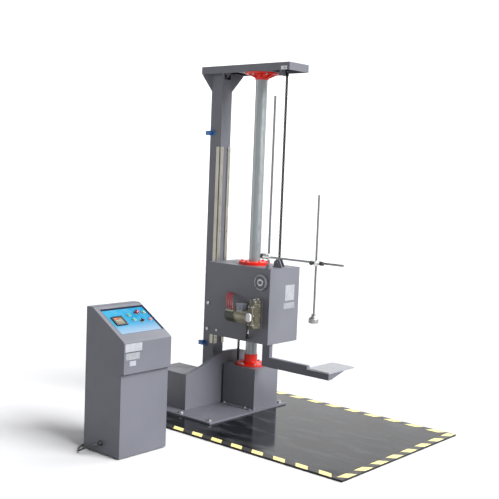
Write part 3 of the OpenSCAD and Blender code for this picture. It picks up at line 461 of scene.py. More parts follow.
@dataclass(frozen=True)
class PanelPrint(Finish):
    """The console's printed front foil: a watery blue field with a dark rim on two sides.

    Attributes:
        origin: The panel's top corner in metres.
        slope: How far the panel leans, in radians.
        start: The foil's first corner down and across the panel, in metres.
        length: Down the slope, in metres.
        width: Across the panel, in metres.
        rim: The dark line's width in metres.
        deep: The field's colour at the far side.
        watery: The colour of its pale waves.
        pale: The colour that it fades to below.
        line: The dark line's colour.
    """

    origin: Point = (0.0, 0.0, 0.0)
    slope: float = 0.0
    start: Pair = (0.0, 0.0)
    length: float = 0.2
    width: float = 0.3
    rim: float = 0.016
    deep: Colour = srgb(0, 94, 128)
    watery: Colour = srgb(84, 124, 142)
    pale: Colour = srgb(98, 118, 136)
    line: Colour = srgb(6, 14, 34)

    def look(self, recipe: Recipe) -> dict[str, object]:
        """Lays out the printed foil."""
        moved = -(Matrix.Rotation(-self.slope, 3, "Y") @ Vector(self.origin))
        down, across, _ = recipe.split(recipe.mapped(EVEN, (0.0, -self.slope, 0.0), tuple(moved)))
        down = recipe.spread(down, start=self.start[0], end=self.start[0] + self.length)
        across = recipe.spread(across, start=self.start[1], end=self.start[1] + self.width)
        water = recipe.spread(recipe.noise(20.0, 5.0, (1.4, 1.0, 1.0), 0.6), 0.0, 0.35, 0.50, 0.72)
        tone = recipe.mix(recipe.spread(across, start=0.1, end=0.9), self.colour, self.deep)
        tone = recipe.mix(water, tone, self.watery)
        tone = recipe.mix(recipe.spread(down, start=0.60, end=0.94), tone, self.pale)
        top_rim = recipe.sum_of(down, self.rim / self.length, Sum.BELOW)
        side_rim = recipe.sum_of(across, 1 - self.rim / self.width, Sum.ABOVE)
        return dict(
            base_color=recipe.mix(recipe.sum_of(top_rim, side_rim, Sum.HIGHER), tone, self.line),
            roughness=self.rough,
            specular_ior_level=0.05,
            normal=recipe.bump(recipe.noise(700.0, 2.0), 0.06, 0.0004),
        )


ALONG_X: Point = (0.05, 1.0, 1.0)
BARE = srgb(178, 180, 182)
GREY = MachinePaint("grey_enamel", "body_paint", srgb(85, 86, 93), 0.42, coat=0.03)
GREY_DARK = MachinePaint("dark_grey_enamel", "body_paint", srgb(79, 80, 88), 0.44, coat=0.03)
GREY_CASE = MachinePaint("console_grey_enamel", "body_paint", srgb(79, 80, 87), 0.42, coat=0.03)
RED = MachinePaint("red_orange_enamel", "flange_red", srgb(190, 22, 4), 0.38, 0.08, 0.08)
PLATE = PlateEnamel("black_plate_enamel", "plate_black", srgb(11, 12, 15), 0.08)
ZINC_TUBE = Galvanised("galvanised_tube", "column_steel", srgb(137, 142, 144), 0.34)
ZINC = PlainSteel("zinc_plated_steel", "zinc_steel", srgb(168, 170, 172), 0.34, metallic=0.9, dirt=0.45)
STRIP = PlainSteel("ground_strip_steel", "strip_steel", srgb(158, 155, 146), 0.38, (1.0, 1.0, 0.04))
ROD = PlainSteel("plated_rod_steel", "rod_chrome", srgb(114, 115, 118), 0.30, (1.0, 1.0, 0.05), dirt=0.15)
CROSS_ROD = PlainSteel("plated_cross_rod_steel", "rod_chrome", srgb(142, 143, 146), 0.28, ALONG_X, dirt=0.2)
PAD = PlainSteel("brushed_pad_steel", "pad_steel", srgb(188, 190, 196), 0.32, ALONG_X, dirt=0.1)
CHAIN = PlainSteel("oiled_chain_steel", "chain_steel", srgb(44, 44, 46), 0.36, metallic=0.7, dirt=0.6)
BRONZE = PlainSteel("bush_bronze", "bronze", srgb(176, 141, 82), 0.32)
NYLON = Moulded("cast_nylon", "nylon", srgb(216, 210, 190), 0.48)
ALLOY = Casting(
    "aged_motor_alloy", "motor_cast", srgb(142, 138, 120), 0.42, 0.35,
    zones=(
        Zone((-0.060, -0.260, 0.570), (0.0445, -0.140, 0.660), srgb(50, 52, 44), 0.42, 0.2),
        Zone((-0.060, -0.260, 0.660), (0.0445, -0.140, 0.690), srgb(132, 132, 118), 0.42, 0.2),
        Zone((0.046, -0.260, 0.659), (0.150, -0.140, 0.6685), srgb(160, 164, 150), 0.40, 0.2),
        Zone((0.100, -0.260, 0.570), (0.150, -0.140, 0.659), srgb(128, 122, 110), 0.42, 0.3),
        Zone((0.048, -0.260, 0.6700), (0.104, -0.140, 0.730), srgb(112, 114, 122), 0.45, 0.2),
    ),
)
GEAR_ALLOY = Casting(
    "oily_gearbox_alloy", "motor_cast", srgb(80, 77, 64), 0.40, 0.35,
    zones=(
        Zone((0.150, -0.260, 0.608), (0.200, -0.2383, 0.6695), srgb(178, 178, 180), 0.32),
        Zone((0.150, -0.158, 0.560), (0.210, -0.148, 0.760), srgb(98, 98, 100), 0.42, 0.4),
        Zone((0.2006, -0.224, 0.729), (0.210, -0.166, 0.748), BARE, 0.30, 0.9),
        Zone((0.180, -0.224, 0.7504), (0.200, -0.166, 0.760), BARE, 0.30, 0.9),
        Zone((0.150, -0.1640, 0.580), (0.1632, -0.1568, 0.760), BARE, 0.30, 0.9),
    ),
)
# Light casting colour for the strips along the gearbox's edges: painted highlights.
EDGE_HIGHLIGHT = Casting("worn_casting_edge", "motor_cast", srgb(134, 134, 116), 0.36, 0.5)
# Light grey for the bearing caps' outer rings: a painted highlight on their rims.
CAP_RIM_HIGHLIGHT = MachinePaint("worn_cap_enamel", "body_paint", srgb(124, 126, 131), 0.36, 0.3, 0.1)
MOTOR_GREY = Casting("painted_motor_iron", "motor_blue", srgb(86, 94, 108), 0.48, 0.1)
FOOT = Casting("foot_alloy", "foot_alloy", srgb(150, 151, 148), 0.38, 0.8, (0.12, 0.12, 0.12, 1.0))
PLUNGER = Casting(
    "plunger_alloy", "foot_alloy", srgb(110, 111, 113), 0.38, 0.8, (0.12, 0.12, 0.12, 1.0),
    zones=(Zone((0.55, -0.35, 0.60), (0.69, 0.15, 0.705), srgb(142, 143, 141), 0.38, 0.8),),
)
SWITCH = Moulded("switch_blue_plastic", "switch_blue", srgb(30, 84, 140), 0.40)
KNOB = Moulded("black_phenolic", "knob_black", srgb(22, 22, 24), 0.28, 0.05, 0.3)
RUBBER = Moulded("black_rubber", "rubber_black", srgb(28, 28, 29), 0.55)
WIRE_RED = Moulded("red_lead_plastic", "wire", srgb(126, 44, 46), 0.46)
HOSE = Moulded("black_hose_plastic", "wire", srgb(24, 25, 27), 0.45)
WHITE_CAP = Moulded("white_plastic", "motor_cast", srgb(206, 206, 204), 0.34, 0.04, 0.1)
GREEN = Moulded("green_button_plastic", "button_green", srgb(24, 112, 86), 0.22, 0.03, 0.4, 0.06)
RED_BUTTON = Moulded("red_button_plastic", "button_red", srgb(104, 24, 46), 0.24, 0.03, 0.4)
RED_LAMP = Moulded("red_lamp_plastic", "lamp_red", srgb(120, 44, 66), 0.20, 0.02, 0.4, 0.06)
BEZEL = PlainSteel("bezel_alloy", "bezel", srgb(150, 156, 164), 0.30)
WHITE_PLATE = Moulded("white_label_film", "body_paint", srgb(125, 127, 132), 0.34, 0.06)
GREY_PLATE = Moulded("grey_label_film", "body_paint", srgb(112, 115, 119), 0.36, 0.08)
DARK_LINE = Moulded("dark_printed_line", "body_paint", srgb(34, 34, 42), 0.40, 0.04)
DISPLAY = Moulded("warm_display", "knob_black", srgb(128, 60, 38), 0.24, 0.02, 0.3, 0.05)
KEYS = Moulded("pale_keys", "knob_black", srgb(104, 104, 88), 0.38, 0.05)
METER_FACE = Moulded("meter_face", "knob_black", srgb(84, 72, 58), 0.34, 0.05)
BLACK_CASE = Moulded("meter_case_plastic", "knob_black", srgb(26, 27, 30), 0.38)


def coat(obj: Piece, *finishes: Finish) -> None:
    """Puts finishes in a piece's material slots, in order.

    Args:
        obj: The piece.
        finishes: One finish for each slot.
    """
    obj.data.materials.clear()
    for finish in finishes:
        obj.data.materials.append(finish.material())


def soften(obj: Piece, width: float, flatten: bool = True) -> None:
    """Rounds a piece's sharp edges and evens its shading.

    Args:
        obj: The piece.
        width: The rounding's width in millimetres.
        flatten: Whether coplanar triangles are joined first.
    """
    weld = obj.modifiers.new("weld", "WELD")
    weld.merge_threshold = 0.00002
    if flatten:
        flat = obj.modifiers.new("flatten", "DECIMATE")
        flat.decimate_type = "DISSOLVE"
        flat.angle_limit = math.radians(0.4)
    rounding = obj.modifiers.new("rounding", "BEVEL")
    rounding.width = width * MM
    rounding.segments = 2
    rounding.limit_method = "ANGLE"
    rounding.angle_limit = math.radians(38)
    rounding.use_clamp_overlap = True
    even = obj.modifiers.new("even_shading", "WEIGHTED_NORMAL")
    even.keep_sharp = False
    even.weight = 80


def dress(finish: Finish, *nodes: str, edge: float = 0.0) -> None:
    """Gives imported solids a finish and, where asked, rounded edges.

    Args:
        finish: What they are finished with.
        nodes: The solids' names.
        edge: The rounding of their edges in millimetres.
    """
    for name in nodes:
        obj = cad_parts[name]
        coat(obj, finish)
        if edge:
            soften(obj, edge)
        LOG.info("dressed %s", name)


def smooth_path(points: Sequence[Point], steps: int = 6) -> list[Vector]:
    """Draws a smooth curve through points in millimetres.

    Args:
        points: The named points.
        steps: New points between two named ones.

    Returns:
        Points along the curve in millimetres.
    """
    knots = [Vector(point) for point in points]
    knots = [knots[0] * 2 - knots[1], *knots, knots[-1] * 2 - knots[-2]]
    path = []
    for before, here, there, after in zip(knots, knots[1:], knots[2:], knots[3:]):
        for step in range(steps):
            share = step / steps
            bend = (before * 2 - here * 5 + there * 4 - after) * share**2
            sway = (here * 3 - before - there * 3 + after) * share**3
            path.append(0.5 * (here * 2 + (there - before) * share + bend + sway))
    path.append(knots[-2])
    return path


def circle(sides: int) -> list[Pair]:
    """Gives the corners of a regular outline of radius 1."""
    turns = [2 * math.pi * side / sides for side in range(sides)]
    return [(math.cos(turn), math.sin(turn)) for turn in turns]


class Shaper:
    """Collects shapes in millimetres and turns them into one piece."""

    def __init__(self) -> None:
        """Starts with nothing."""
        self.mesh = bmesh.new()

    def _take(self, verts: Iterable[bmesh.types.BMVert], slot: int, move: Matrix) -> "Shaper":
        """Moves new points into place and gives their faces a material slot."""
        verts = list(verts)
        bmesh.ops.transform(self.mesh, matrix=move, verts=verts)
        for face in {face for vert in verts for face in vert.link_faces}:
            face.material_index = slot
        return self

    def _skin(self, rings: Sequence[Sequence[bmesh.types.BMVert]], sides: int) -> None:
        """Joins rings of points to the next; a ring may be a single point."""
        for low, high in zip(rings, rings[1:]):
            for side in range(sides):
                after = (side + 1) % sides
                if len(low) == 1:
                    corners = (low[0], high[after], high[side])
                elif len(high) == 1:
                    corners = (low[side], low[after], high[0])
                else:
                    corners = (low[side], low[after], high[after], high[side])
                self.mesh.faces.new(corners)

    def box(self, low: Point, high: Point, slot: int = 0, move: Matrix | None = None) -> "Shaper":
        """Adds a box between two corners."""
        made = bmesh.ops.create_cube(self.mesh, size=1.0)["verts"]
        middle = (Vector(low) + Vector(high)) / 2
        size = Vector(high) - Vector(low)
        place = Matrix.Translation(middle) @ Matrix.Diagonal((*size, 1.0))
        return self._take(made, slot, (move or Matrix()) @ place)

    def lathe(
        self, profile: Sequence[Pair], sides: int = 48, slot: int = 0, move: Matrix | None = None
    ) -> "Shaper":
        """Spins a profile about Z; its ends are closed where they reach the axis.

        Args:
            profile: Pairs of radius and height.
            sides: Facets round the axis.
            slot: The faces' material slot.
            move: Where the spun shape goes.

        Returns:
            This shaper.
        """
        ways = circle(sides)
        rings = []
        for radius, height in profile:
            spots = [(radius * x, radius * y, height) for x, y in ways]
            if radius <= 0:
                spots = [(0.0, 0.0, height)]
            rings.append([self.mesh.verts.new(spot) for spot in spots])
        self._skin(rings, sides)
        return self._take([vert for ring in rings for vert in ring], slot, move or Matrix())

    def drum(self, start: Point, end: Point, radius: float, sides: int = 48) -> "Shaper":
        """Adds a closed cylinder between two points."""
        line = Vector(end) - Vector(start)
        place = Matrix.Translation(start) @ line.to_track_quat("Z", "Y").to_matrix().to_4x4()
        return self.lathe([(0, 0), (radius, 0), (radius, line.length), (0, line.length)], sides, 0, place)

    def prism(self, outline: Sequence[Pair], low: float, high: float, slot: int = 0) -> "Shaper":
        """Raises a flat outline from one height to another."""
        bottom, top = ([self.mesh.verts.new((x, y, z)) for x, y in outline] for z in (low, high))
        self.mesh.faces.new(bottom[::-1])
        self.mesh.faces.new(top)
        self._skin([bottom, top], len(outline))
        return self._take([*bottom, *top], slot, Matrix())

    def tube(self, path: Sequence[Vector], radius: float, sides: int = 12) -> "Shaper":
        """Sweeps a round section along a path, without twisting it.

        Args:
            path: The centreline.
            radius: The section's radius.
            sides: The section's facets.

        Returns:
            This shaper.
        """
        ways = circle(sides)
        rings = []
        side_way = Vector((0.31, 0.17, 0.935))
        for index, point in enumerate(path):
            ahead = (path[min(index + 1, len(path) - 1)] - path[max(index - 1, 0)]).normalized()
            side_way = (side_way - ahead * side_way.dot(ahead)).normalized()
            up_way = ahead.cross(side_way)
            spots = [point + (side_way * x + up_way * y) * radius for x, y in ways]
            rings.append([self.mesh.verts.new(spot) for spot in spots])
        self._skin(rings, sides)
        self.mesh.faces.new(rings[0][::-1])
        self.mesh.faces.new(rings[-1])
        return self._take([vert for ring in rings for vert in ring], 0, Matrix())

    def piece(self, name: str, body: str, *finishes: Finish, edge: float = 0.0, flat: bool = False) -> Piece:
        """Closes the mesh and makes it a piece that rides on a body.

        Args:
            name: The piece's name.
            body: The body that it moves with.
            finishes: Its finishes, one to a slot.
            edge: The rounding of its edges in millimetres.
            flat: Whether its faces are shaded flat.

        Returns:
            The new piece.
        """
        bmesh.ops.recalc_face_normals(self.mesh, faces=self.mesh.faces)
        bmesh.ops.scale(self.mesh, vec=(MM, MM, MM), verts=self.mesh.verts)
        data = bpy.data.meshes.new(name)
        self.mesh.to_mesh(data)
        self.mesh.free()
        for finish in finishes:
            data.materials.append(finish.material())
        obj = placed(name, data)
        if not flat:
            data.shade_smooth()
        if edge:
            soften(obj, edge, flatten=False)
        elif not flat:
            even = obj.modifiers.new("split", "EDGE_SPLIT")
            even.split_angle = math.radians(35)
        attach(obj, body)
        LOG.info("made %s on %s", name, body)
        return obj


@dataclass
class Studio:
    """The camera, the pale floor and the soft lights.

    Attributes:
        eye: Where the camera stands, in millimetres.
        heading: The camera's turn to the left of +Y, in radians.
        dip: How far it looks down, in radians.
        roll: Its turn about its own line of sight, in radians.
        focal: The focal length in pixels of the photograph.
        picture: The photograph's width in pixels.
        sensor: The camera's width in millimetres.
        reach: How far the floor goes each way, in metres.
        depth: How far the floor lies below the machine, in metres.
        ring: The wall's distance and height in metres, and its number of sides.
        suns: Each light's name, direction, strength and softness.
        sky: How strong the surroundings are.
    """

    eye: Point = (3760.0, -4425.7, 1538.2)
    heading: float = 0.7106
    dip: float = 0.0854
    roll: float = 0.0394
    focal: float = 892.3
    picture: int = 499
    sensor: float = 36.0
    reach: float = 60.0
    depth: float = 0.0005
    ring: tuple[float, float, int] = (17.0, 7.0, 48)
    suns: tuple[tuple[str, Point, float, float], ...] = (
        ("key", (0.77, 0.12, 0.62), 8.9, 40.0),
        ("window", (0.11, 0.74, 0.64), 2.9, 55.0),
    )
    sky: float = 0.22

    def camera(self) -> None:
        """Puts the camera where the photograph was taken from."""
        level = Vector((math.cos(self.heading), math.sin(self.heading), 0.0))
        flat = math.cos(self.dip)
        ahead = Vector((-level.y * flat, level.x * flat, -math.sin(self.dip)))
        above = level.cross(ahead)
        right = level * math.cos(self.roll) + above * math.sin(self.roll)
        up = above * math.cos(self.roll) - level * math.sin(self.roll)
        data = bpy.data.cameras.new("viewpoint")
        data.sensor_width = self.sensor
        data.lens = self.focal * self.sensor / self.picture
        data.clip_start, data.clip_end = 0.1, 100.0
        viewpoint = placed("viewpoint", data)
        turn = Matrix((right, up, -ahead)).transposed().to_4x4()
        viewpoint.matrix_world = Matrix.Translation(Vector(self.eye) * MM) @ turn
        bpy.context.scene.camera = viewpoint

    def sheet(self, name: str, points: Sequence[Point], faces: Sequence[tuple], look: Material) -> Piece:
        """Makes a plain surface of the studio from its points and faces."""
        data = bpy.data.meshes.new(name)
        data.from_pydata(points, [], faces)
        data.materials.append(look)
        return placed(name, data)

    def floor(self) -> None:
        """Lays a wide pale floor."""
        recipe = Recipe("pale_floor")
        tone = recipe.mix(recipe.spread(recipe.noise(1.2, 3.0)), srgb(170, 170, 171), srgb(176, 176, 177))
        look = recipe.surface(base_color=tone, roughness=0.9, specular_ior_level=0.2)
        ways = ((-1, -1), (1, -1), (1, 1), (-1, 1))
        corners = [(x * self.reach, y * self.reach, -self.depth) for x, y in ways]
        ground = self.sheet("studio_floor", corners, [(0, 1, 2, 3)], look)

    def wall(self) -> None:
        """Stands a low white wall round the studio, so that every view ends in white."""
        recipe = Recipe("white_wall")
        glow = recipe.mix(recipe.spread(recipe.noise(0.2, 2.0)), srgb(252, 252, 252), srgb(255, 255, 255))
        look = recipe.surface(
            base_color=srgb(120, 120, 120), roughness=1.0, emission_color=glow, emission_strength=0.95
        )
        radius, height, sides = self.ring
        foot = -0.01
        points = [(radius * x, radius * y, z) for z in (foot, height) for x, y in circle(sides)]
        faces = [(k, (k + 1) % sides, sides + (k + 1) % sides, sides + k) for k in range(sides)]
        wall = self.sheet("studio_wall", points, faces, look)
        wall.visible_shadow = False

    def sun(self, name: str, towards: Point, strength: float, softness: float) -> None:
        """Adds one soft light from far away.

        Args:
            name: The light's name.
            towards: From the object to the light.
            strength: Its strength.
            softness: How wide it looks, in degrees.
        """
        data = bpy.data.lights.new(name, "SUN")
        data.energy = strength
        data.angle = math.radians(softness)
        aim = (-Vector(towards)).to_track_quat("-Z", "Y")
        placed(name, data).matrix_world = aim.to_matrix().to_4x4()

    def lights(self) -> None:
        """Sets the lights and the pale surroundings."""
        for sun in self.suns:
            self.sun(*sun)
        world = bpy.data.worlds.new("surroundings")
        world.use_nodes = True
        inputs = world.node_tree.nodes["Background"].inputs
        inputs["Color"].default_value = srgb(248, 250, 255)
        inputs["Strength"].default_value = self.sky
        scene = bpy.context.scene
        scene.world = world
        scene.view_settings.view_transform = "Standard"
        scene.view_settings.look = "None"

    def build(self) -> None:
        """Makes the whole studio."""
        self.camera()
        self.floor()
        self.wall()
        self.lights()


@dataclass
class PowerLead:
    """The console's mains lead, with its stored length coiled behind the case.

    Attributes:
        exit_point: Where the lead leaves the gland, in millimetres; not used.
        route: The lead's way to the coil, in millimetres.
        coil_centre: The coil's middle, on the floor.
        turn_radius: Of the middle of its turns.
        turns: Whole turns from the floor to the top.
        climb: How much each turn rises.
        rest: How high the lead's middle lies on the floor.
        sink: Where it starts to sink to the plug and for how long, in turns from the last whole one.
        widen: Where it starts to swing out to the plug and for how long, likewise.
        plug_end: Where the lead enters the plug.
        diameter: Of the lead.
    """

    exit_point: Point = (128.0, -1388.0, 62.0)
    route: tuple[Point, ...] = (
        (128, -1388, 62), (127, -1400, 61), (121, -1416, 58), (108, -1430, 52), (90, -1438, 43),
        (68, -1440, 32), (44, -1437, 20), (22, -1429, 10.5), (2, -1416, 6), (-17, -1400, 5.2),
        (-35, -1380, 5.2), (-49, -1356, 5.2), (-58, -1328, 5.2), (-63, -1290, 5.2), (-66, -1240, 5.2),
        (-67, -1180, 5.2), (-67, -1130, 5.2), (-67, -1095, 5.2), (-67, -1060, 5.2),
    )
    coil_centre: Point = (-125.0, -1060.0, 0.0)
    turn_radius: float = 58.0
    turns: int = 5
    climb: float = 9.96
    rest: float = 5.2
    sink: Pair = (0.08, 0.42)
    widen: Pair = (-0.55, 0.72)
    plug_end: Point = (-193.0, -1066.4, 14.5)
    diameter: float = 10.0

    def coil(self) -> list[Vector]:
        """Winds the stored length, then leads it down the coil's side to the plug."""
        centre = Vector(self.coil_centre)
        aside = centre.x - self.turn_radius - self.plug_end[0]
        path = []
        steps = 36
        last = self.turns * steps + steps // 2

        def ease(wound: float, span: Pair) -> float:
            """Goes softly from 0 to 1 over a span of the lead's winding."""
            share = min(1.0, max(0.0, (wound - span[0]) / span[1]))
            return share * share * (3 - 2 * share)

        for step in range(1, last + 1):
            turn = 2 * math.pi * step / steps
            wound = step / steps - self.turns
            climbed = self.rest + self.climb * min(step, self.turns * steps) / steps
            height = climbed + (self.plug_end[2] - climbed) * ease(wound, self.sink)
            radius = self.turn_radius + aside * ease(wound, self.widen)
            path.append(centre + Vector((radius * math.cos(turn), radius * math.sin(turn), height)))
        path.append(Vector(self.plug_end))
        return path

    def build(self) -> None:
        steps = 4
        path = smooth_path(self.route, steps) + self.coil()
        lead = Shaper().tube(path, self.diameter / 2, 12).piece("power_lead_run", "frame", RUBBER)
        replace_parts(lead, "power_lead", "lead_coil")
        dress(RUBBER, "plug", edge=1.5)
        dress(RUBBER, "cable_gland", edge=0.8)


@dataclass
class ImpactBase:
    """The taped impact plate and the machine's base plate.

    Attributes:
        front: The plate's front edge.
        low_side: The plate's near edge.
        high_side: The plate's far edge.
        back: The plate's rear edge.
        top: The plate's top.
        tape: The tape's width.
        pitch: From one yellow dash to the next.
        dash: A yellow dash's length.
        slant: How far a dash leans across the tape.
        inset: From the plate's edge to the tape.
        rear_inset: The same at the rear.
        first_dashes: Where the first yellow dash starts on the near, the front and the far tape.
        lift: The tape's thickness.
    """

    front: float = 1285.0
    low_side: float = -764.0
    high_side: float = 436.0
    back: float = -475.0
    top: float = 10.0
    tape: float = 46.0
    pitch: float = 153.5
    dash: float = 80.0
    slant: float = 34.0
    inset: float = 4.0
    rear_inset: float = 6.0
    first_dashes: Point = (-116.0, 22.0, 40.0)
    lift: float = 0.4

    def strip(
        self, shaper: Shaper, start: Vector, along: Vector, across: Vector, length: float, first: float
    ) -> None:
        """Lays one tape with yellow dashes on black.

        Args:
            shaper: Takes the shapes.
            start: The tape's inner corner.
            along: The tape's direction.
            across: From the tape's inner edge to its outer one.
            length: The tape's length.
            first: Where the first yellow dash starts.
        """
        cuts = [0.0]
        here = first
        while here < length:
            cuts.extend(cut for cut in (here, here + self.dash) if 0 < cut < length)
            here += self.pitch
        cuts.append(length)
        yellow = first <= 0 < first + self.dash
        for index, (one, two) in enumerate(zip(cuts, cuts[1:])):
            lean_one = 0.0 if index == 0 else self.slant
            lean_two = 0.0 if index == len(cuts) - 2 else self.slant
            flat = [
                start + along * one,
                start + along * two,
                start + along * min(two + lean_two, length) + across * self.tape,
                start + along * min(one + lean_one, length) + across * self.tape,
            ]
            outline = [(point.x, point.y) for point in flat]
            shaper.prism(outline, self.top, self.top + self.lift, 0 if yellow else 1)
            yellow = not yellow

    def build(self) -> None:
        """Makes the tape and dresses the plates."""
        yellow = Moulded("yellow_tape", "tape", srgb(206, 190, 122), 0.46, 0.25, 0.05)
        black = Moulded("black_tape", "tape", srgb(34, 34, 35), 0.40, 0.2, 0.15)
        shaper = Shaper()
        near, far = self.low_side + self.inset, self.high_side - self.inset
        side, rear = self.front - self.inset, self.back + self.rear_inset
        reach = side - rear - self.tape
        near_dash, front_dash, far_dash = self.first_dashes
        along_x, along_y = Vector((1, 0, 0)), Vector((0, 1, 0))
        self.strip(shaper, Vector((rear, near + self.tape, 0)), along_x, -along_y, reach, near_dash)
        self.strip(shaper, Vector((side - self.tape, near, 0)), along_y, along_x, far - near, front_dash)
        self.strip(shaper, Vector((rear, far - self.tape, 0)), along_x, along_y, reach, far_dash)
        tape = shaper.piece("warning_tape", "frame", yellow, black, flat=True)
        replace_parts(tape, "hazard_tape")
        dress(PLATE, "impact_plate", edge=0.8)
        dress(GREY, "base_plate", edge=1.0)
        dress(ZINC, "frame_bolts", edge=0.5)


@dataclass
class Columns:
    """The pedestal, the guide column, the rear post and the beam between them.

    Attributes:
        edge: The rounding of the folded sheet.
    """

    edge: float = 2.0

    def build(self) -> None:
        """Dresses the standing frame."""
        dress(GREY, "pedestal", "top_beam", "rear_post", edge=self.edge)
        dress(RED, "lower_flange", "upper_flange", edge=0.6)
        dress(ZINC_TUBE, "guide_column")
        dress(ZINC, "flange_screws", edge=0.4)
        dress(STRIP, "guide_strips", edge=0.5)


@dataclass
class LiftDrive:
    """The lift's motor, guards, sprockets, chains and limit switches.

    Attributes:
        travel: How far the carriage lifts; not used.
        upper: The front chain's line and its ends, as x, low z and high z.
        lower: The chain below the carriage, likewise.
        hung: How high the part of the front chain starts that stays on its sprocket.
        spare: How far a cut lies beyond the chain's end where the whole end is kept.
    """

    travel: float = 0.8128
    upper: Point = (0.206, 0.9922, 2.186)
    lower: Point = (-0.113, 0.130, 0.4348)
    hung: float = 2.10345
    spare: float = 0.1

    def chain(self, node: str, name: str, low: float, high: float) -> Piece:
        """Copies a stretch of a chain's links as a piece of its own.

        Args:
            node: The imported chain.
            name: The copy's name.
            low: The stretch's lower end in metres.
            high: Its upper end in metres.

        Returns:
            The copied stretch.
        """
        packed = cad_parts[node]
        mesh = bmesh.new()
        mesh.from_mesh(packed.data)
        mesh.transform(packed.matrix_world)
        for height, way in ((low, -1.0), (high, 1.0)):
            cut = bmesh.ops.bisect_plane(
                mesh,
                geom=[*mesh.verts, *mesh.edges, *mesh.faces],
                plane_co=(0.0, 0.0, height),
                plane_no=(0.0, 0.0, way),
                clear_outer=True,
            )
            rim = [part for part in cut["geom_cut"] if isinstance(part, bmesh.types.BMEdge)]
            if rim:
                bmesh.ops.edgenet_fill(mesh, edges=rim)
        data = bpy.data.meshes.new(name)
        mesh.to_mesh(data)
        mesh.free()
        links = placed(name, data)
        coat(links, CHAIN)
        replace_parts(links, node)
        return links

    def chains(self) -> None:
        """Copies the chains' stretches above and below the carriage, which on the machine grow shorter above
        it and longer below it.
        """
        x, low, high = self.upper
        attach(self.chain("chain_upper", "chain_upper_end", self.hung, high + self.spare), "frame")
        above = self.chain("chain_upper", "chain_upper_links", low - self.spare, self.hung)
        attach(above, "frame")
        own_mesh(above)
        x, low, high = self.lower
        below = self.chain("chain_lower", "chain_lower_links", low - self.spare, high + self.spare)
        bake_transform(below)

    def build(self) -> None:
        """Dresses the drive."""
        dress(GREY, "arch_guard", "motor_cover", edge=0.6)
        dress(MOTOR_GREY, "lift_gearmotor", edge=1.0)
        dress(ZINC, "drive_sprocket", "idler_sprocket", "rear_sprocket", "front_sprocket")
        dress(ZINC, "sprocket_axles", edge=0.5)
        dress(CHAIN, "chain_return")
        self.chains()
        dress(SWITCH, "limit_switches", edge=0.8)


@dataclass
class Carriage:
    """The lifting box with its bushes, rollers, shoes and bearing caps.

    Attributes:
        front: The box's front face.
        cap: The bearing caps' middle along X and Z, and how far their faces are from the middle.
    """

    front: float = 258.5
    cap: Point = (188.0, 856.0, 160.4)

    def build(self) -> None:
        """Dresses the carriage."""
        dress(GREY, "carriage_box", edge=2.0)
        dress(RED, "carriage_flange", edge=0.6)
        dress(BRONZE, "carriage_bushes")
        dress(NYLON, "upper_roller", "lower_roller", edge=0.8)
        dress(ZINC, "carriage_axles", edge=0.8)
        dress(NYLON, "side_shoes", edge=0.8)
        dress(GREY, "chain_anchors", edge=0.8)
        dress(GREY_DARK, "pivot_bearings", edge=0.8)
        face = self.front
        plates = Shaper().box((face, 9, 735), (face + 0.7, 101, 835))
        plates.box((face, -2, 683), (face + 0.6, 108, 721), 1)
        plates.piece("bare_carriage_plates", "carriage", WHITE_PLATE, GREY_PLATE, edge=0.2)
        rings = Shaper()
        x, z, out = self.cap
        for turn in (1, -1):
            place = Matrix.Translation((x, -out * turn, z)) @ Matrix.Rotation(turn * math.pi / 2, 4, "X")
            # The outer ring's light grey is the painted highlight on each cap's rim; the inner ring is plated
            # steel.
            rings.lathe([(41.0, 0), (41.4, 0.9), (49.4, 0.9), (50.4, 0)], 72, 0, place)
            rings.lathe([(12.2, 0), (12.2, 1.4), (22.0, 1.4), (23.0, 0)], 48, 1, place)
        rings.piece("bearing_cap_rings", "carriage", CAP_RIM_HIGHLIGHT, ZINC)


@dataclass
class DropArm:
    """The swinging arm, its pad and its reset crank."""

    def build(self) -> None:
        """Dresses the arm."""
        dress(GREY_DARK, "arm", edge=1.5)
        dress(PAD, "impact_arm_pad", edge=0.8)
        dress(ZINC, "reset_crank", edge=0.8)


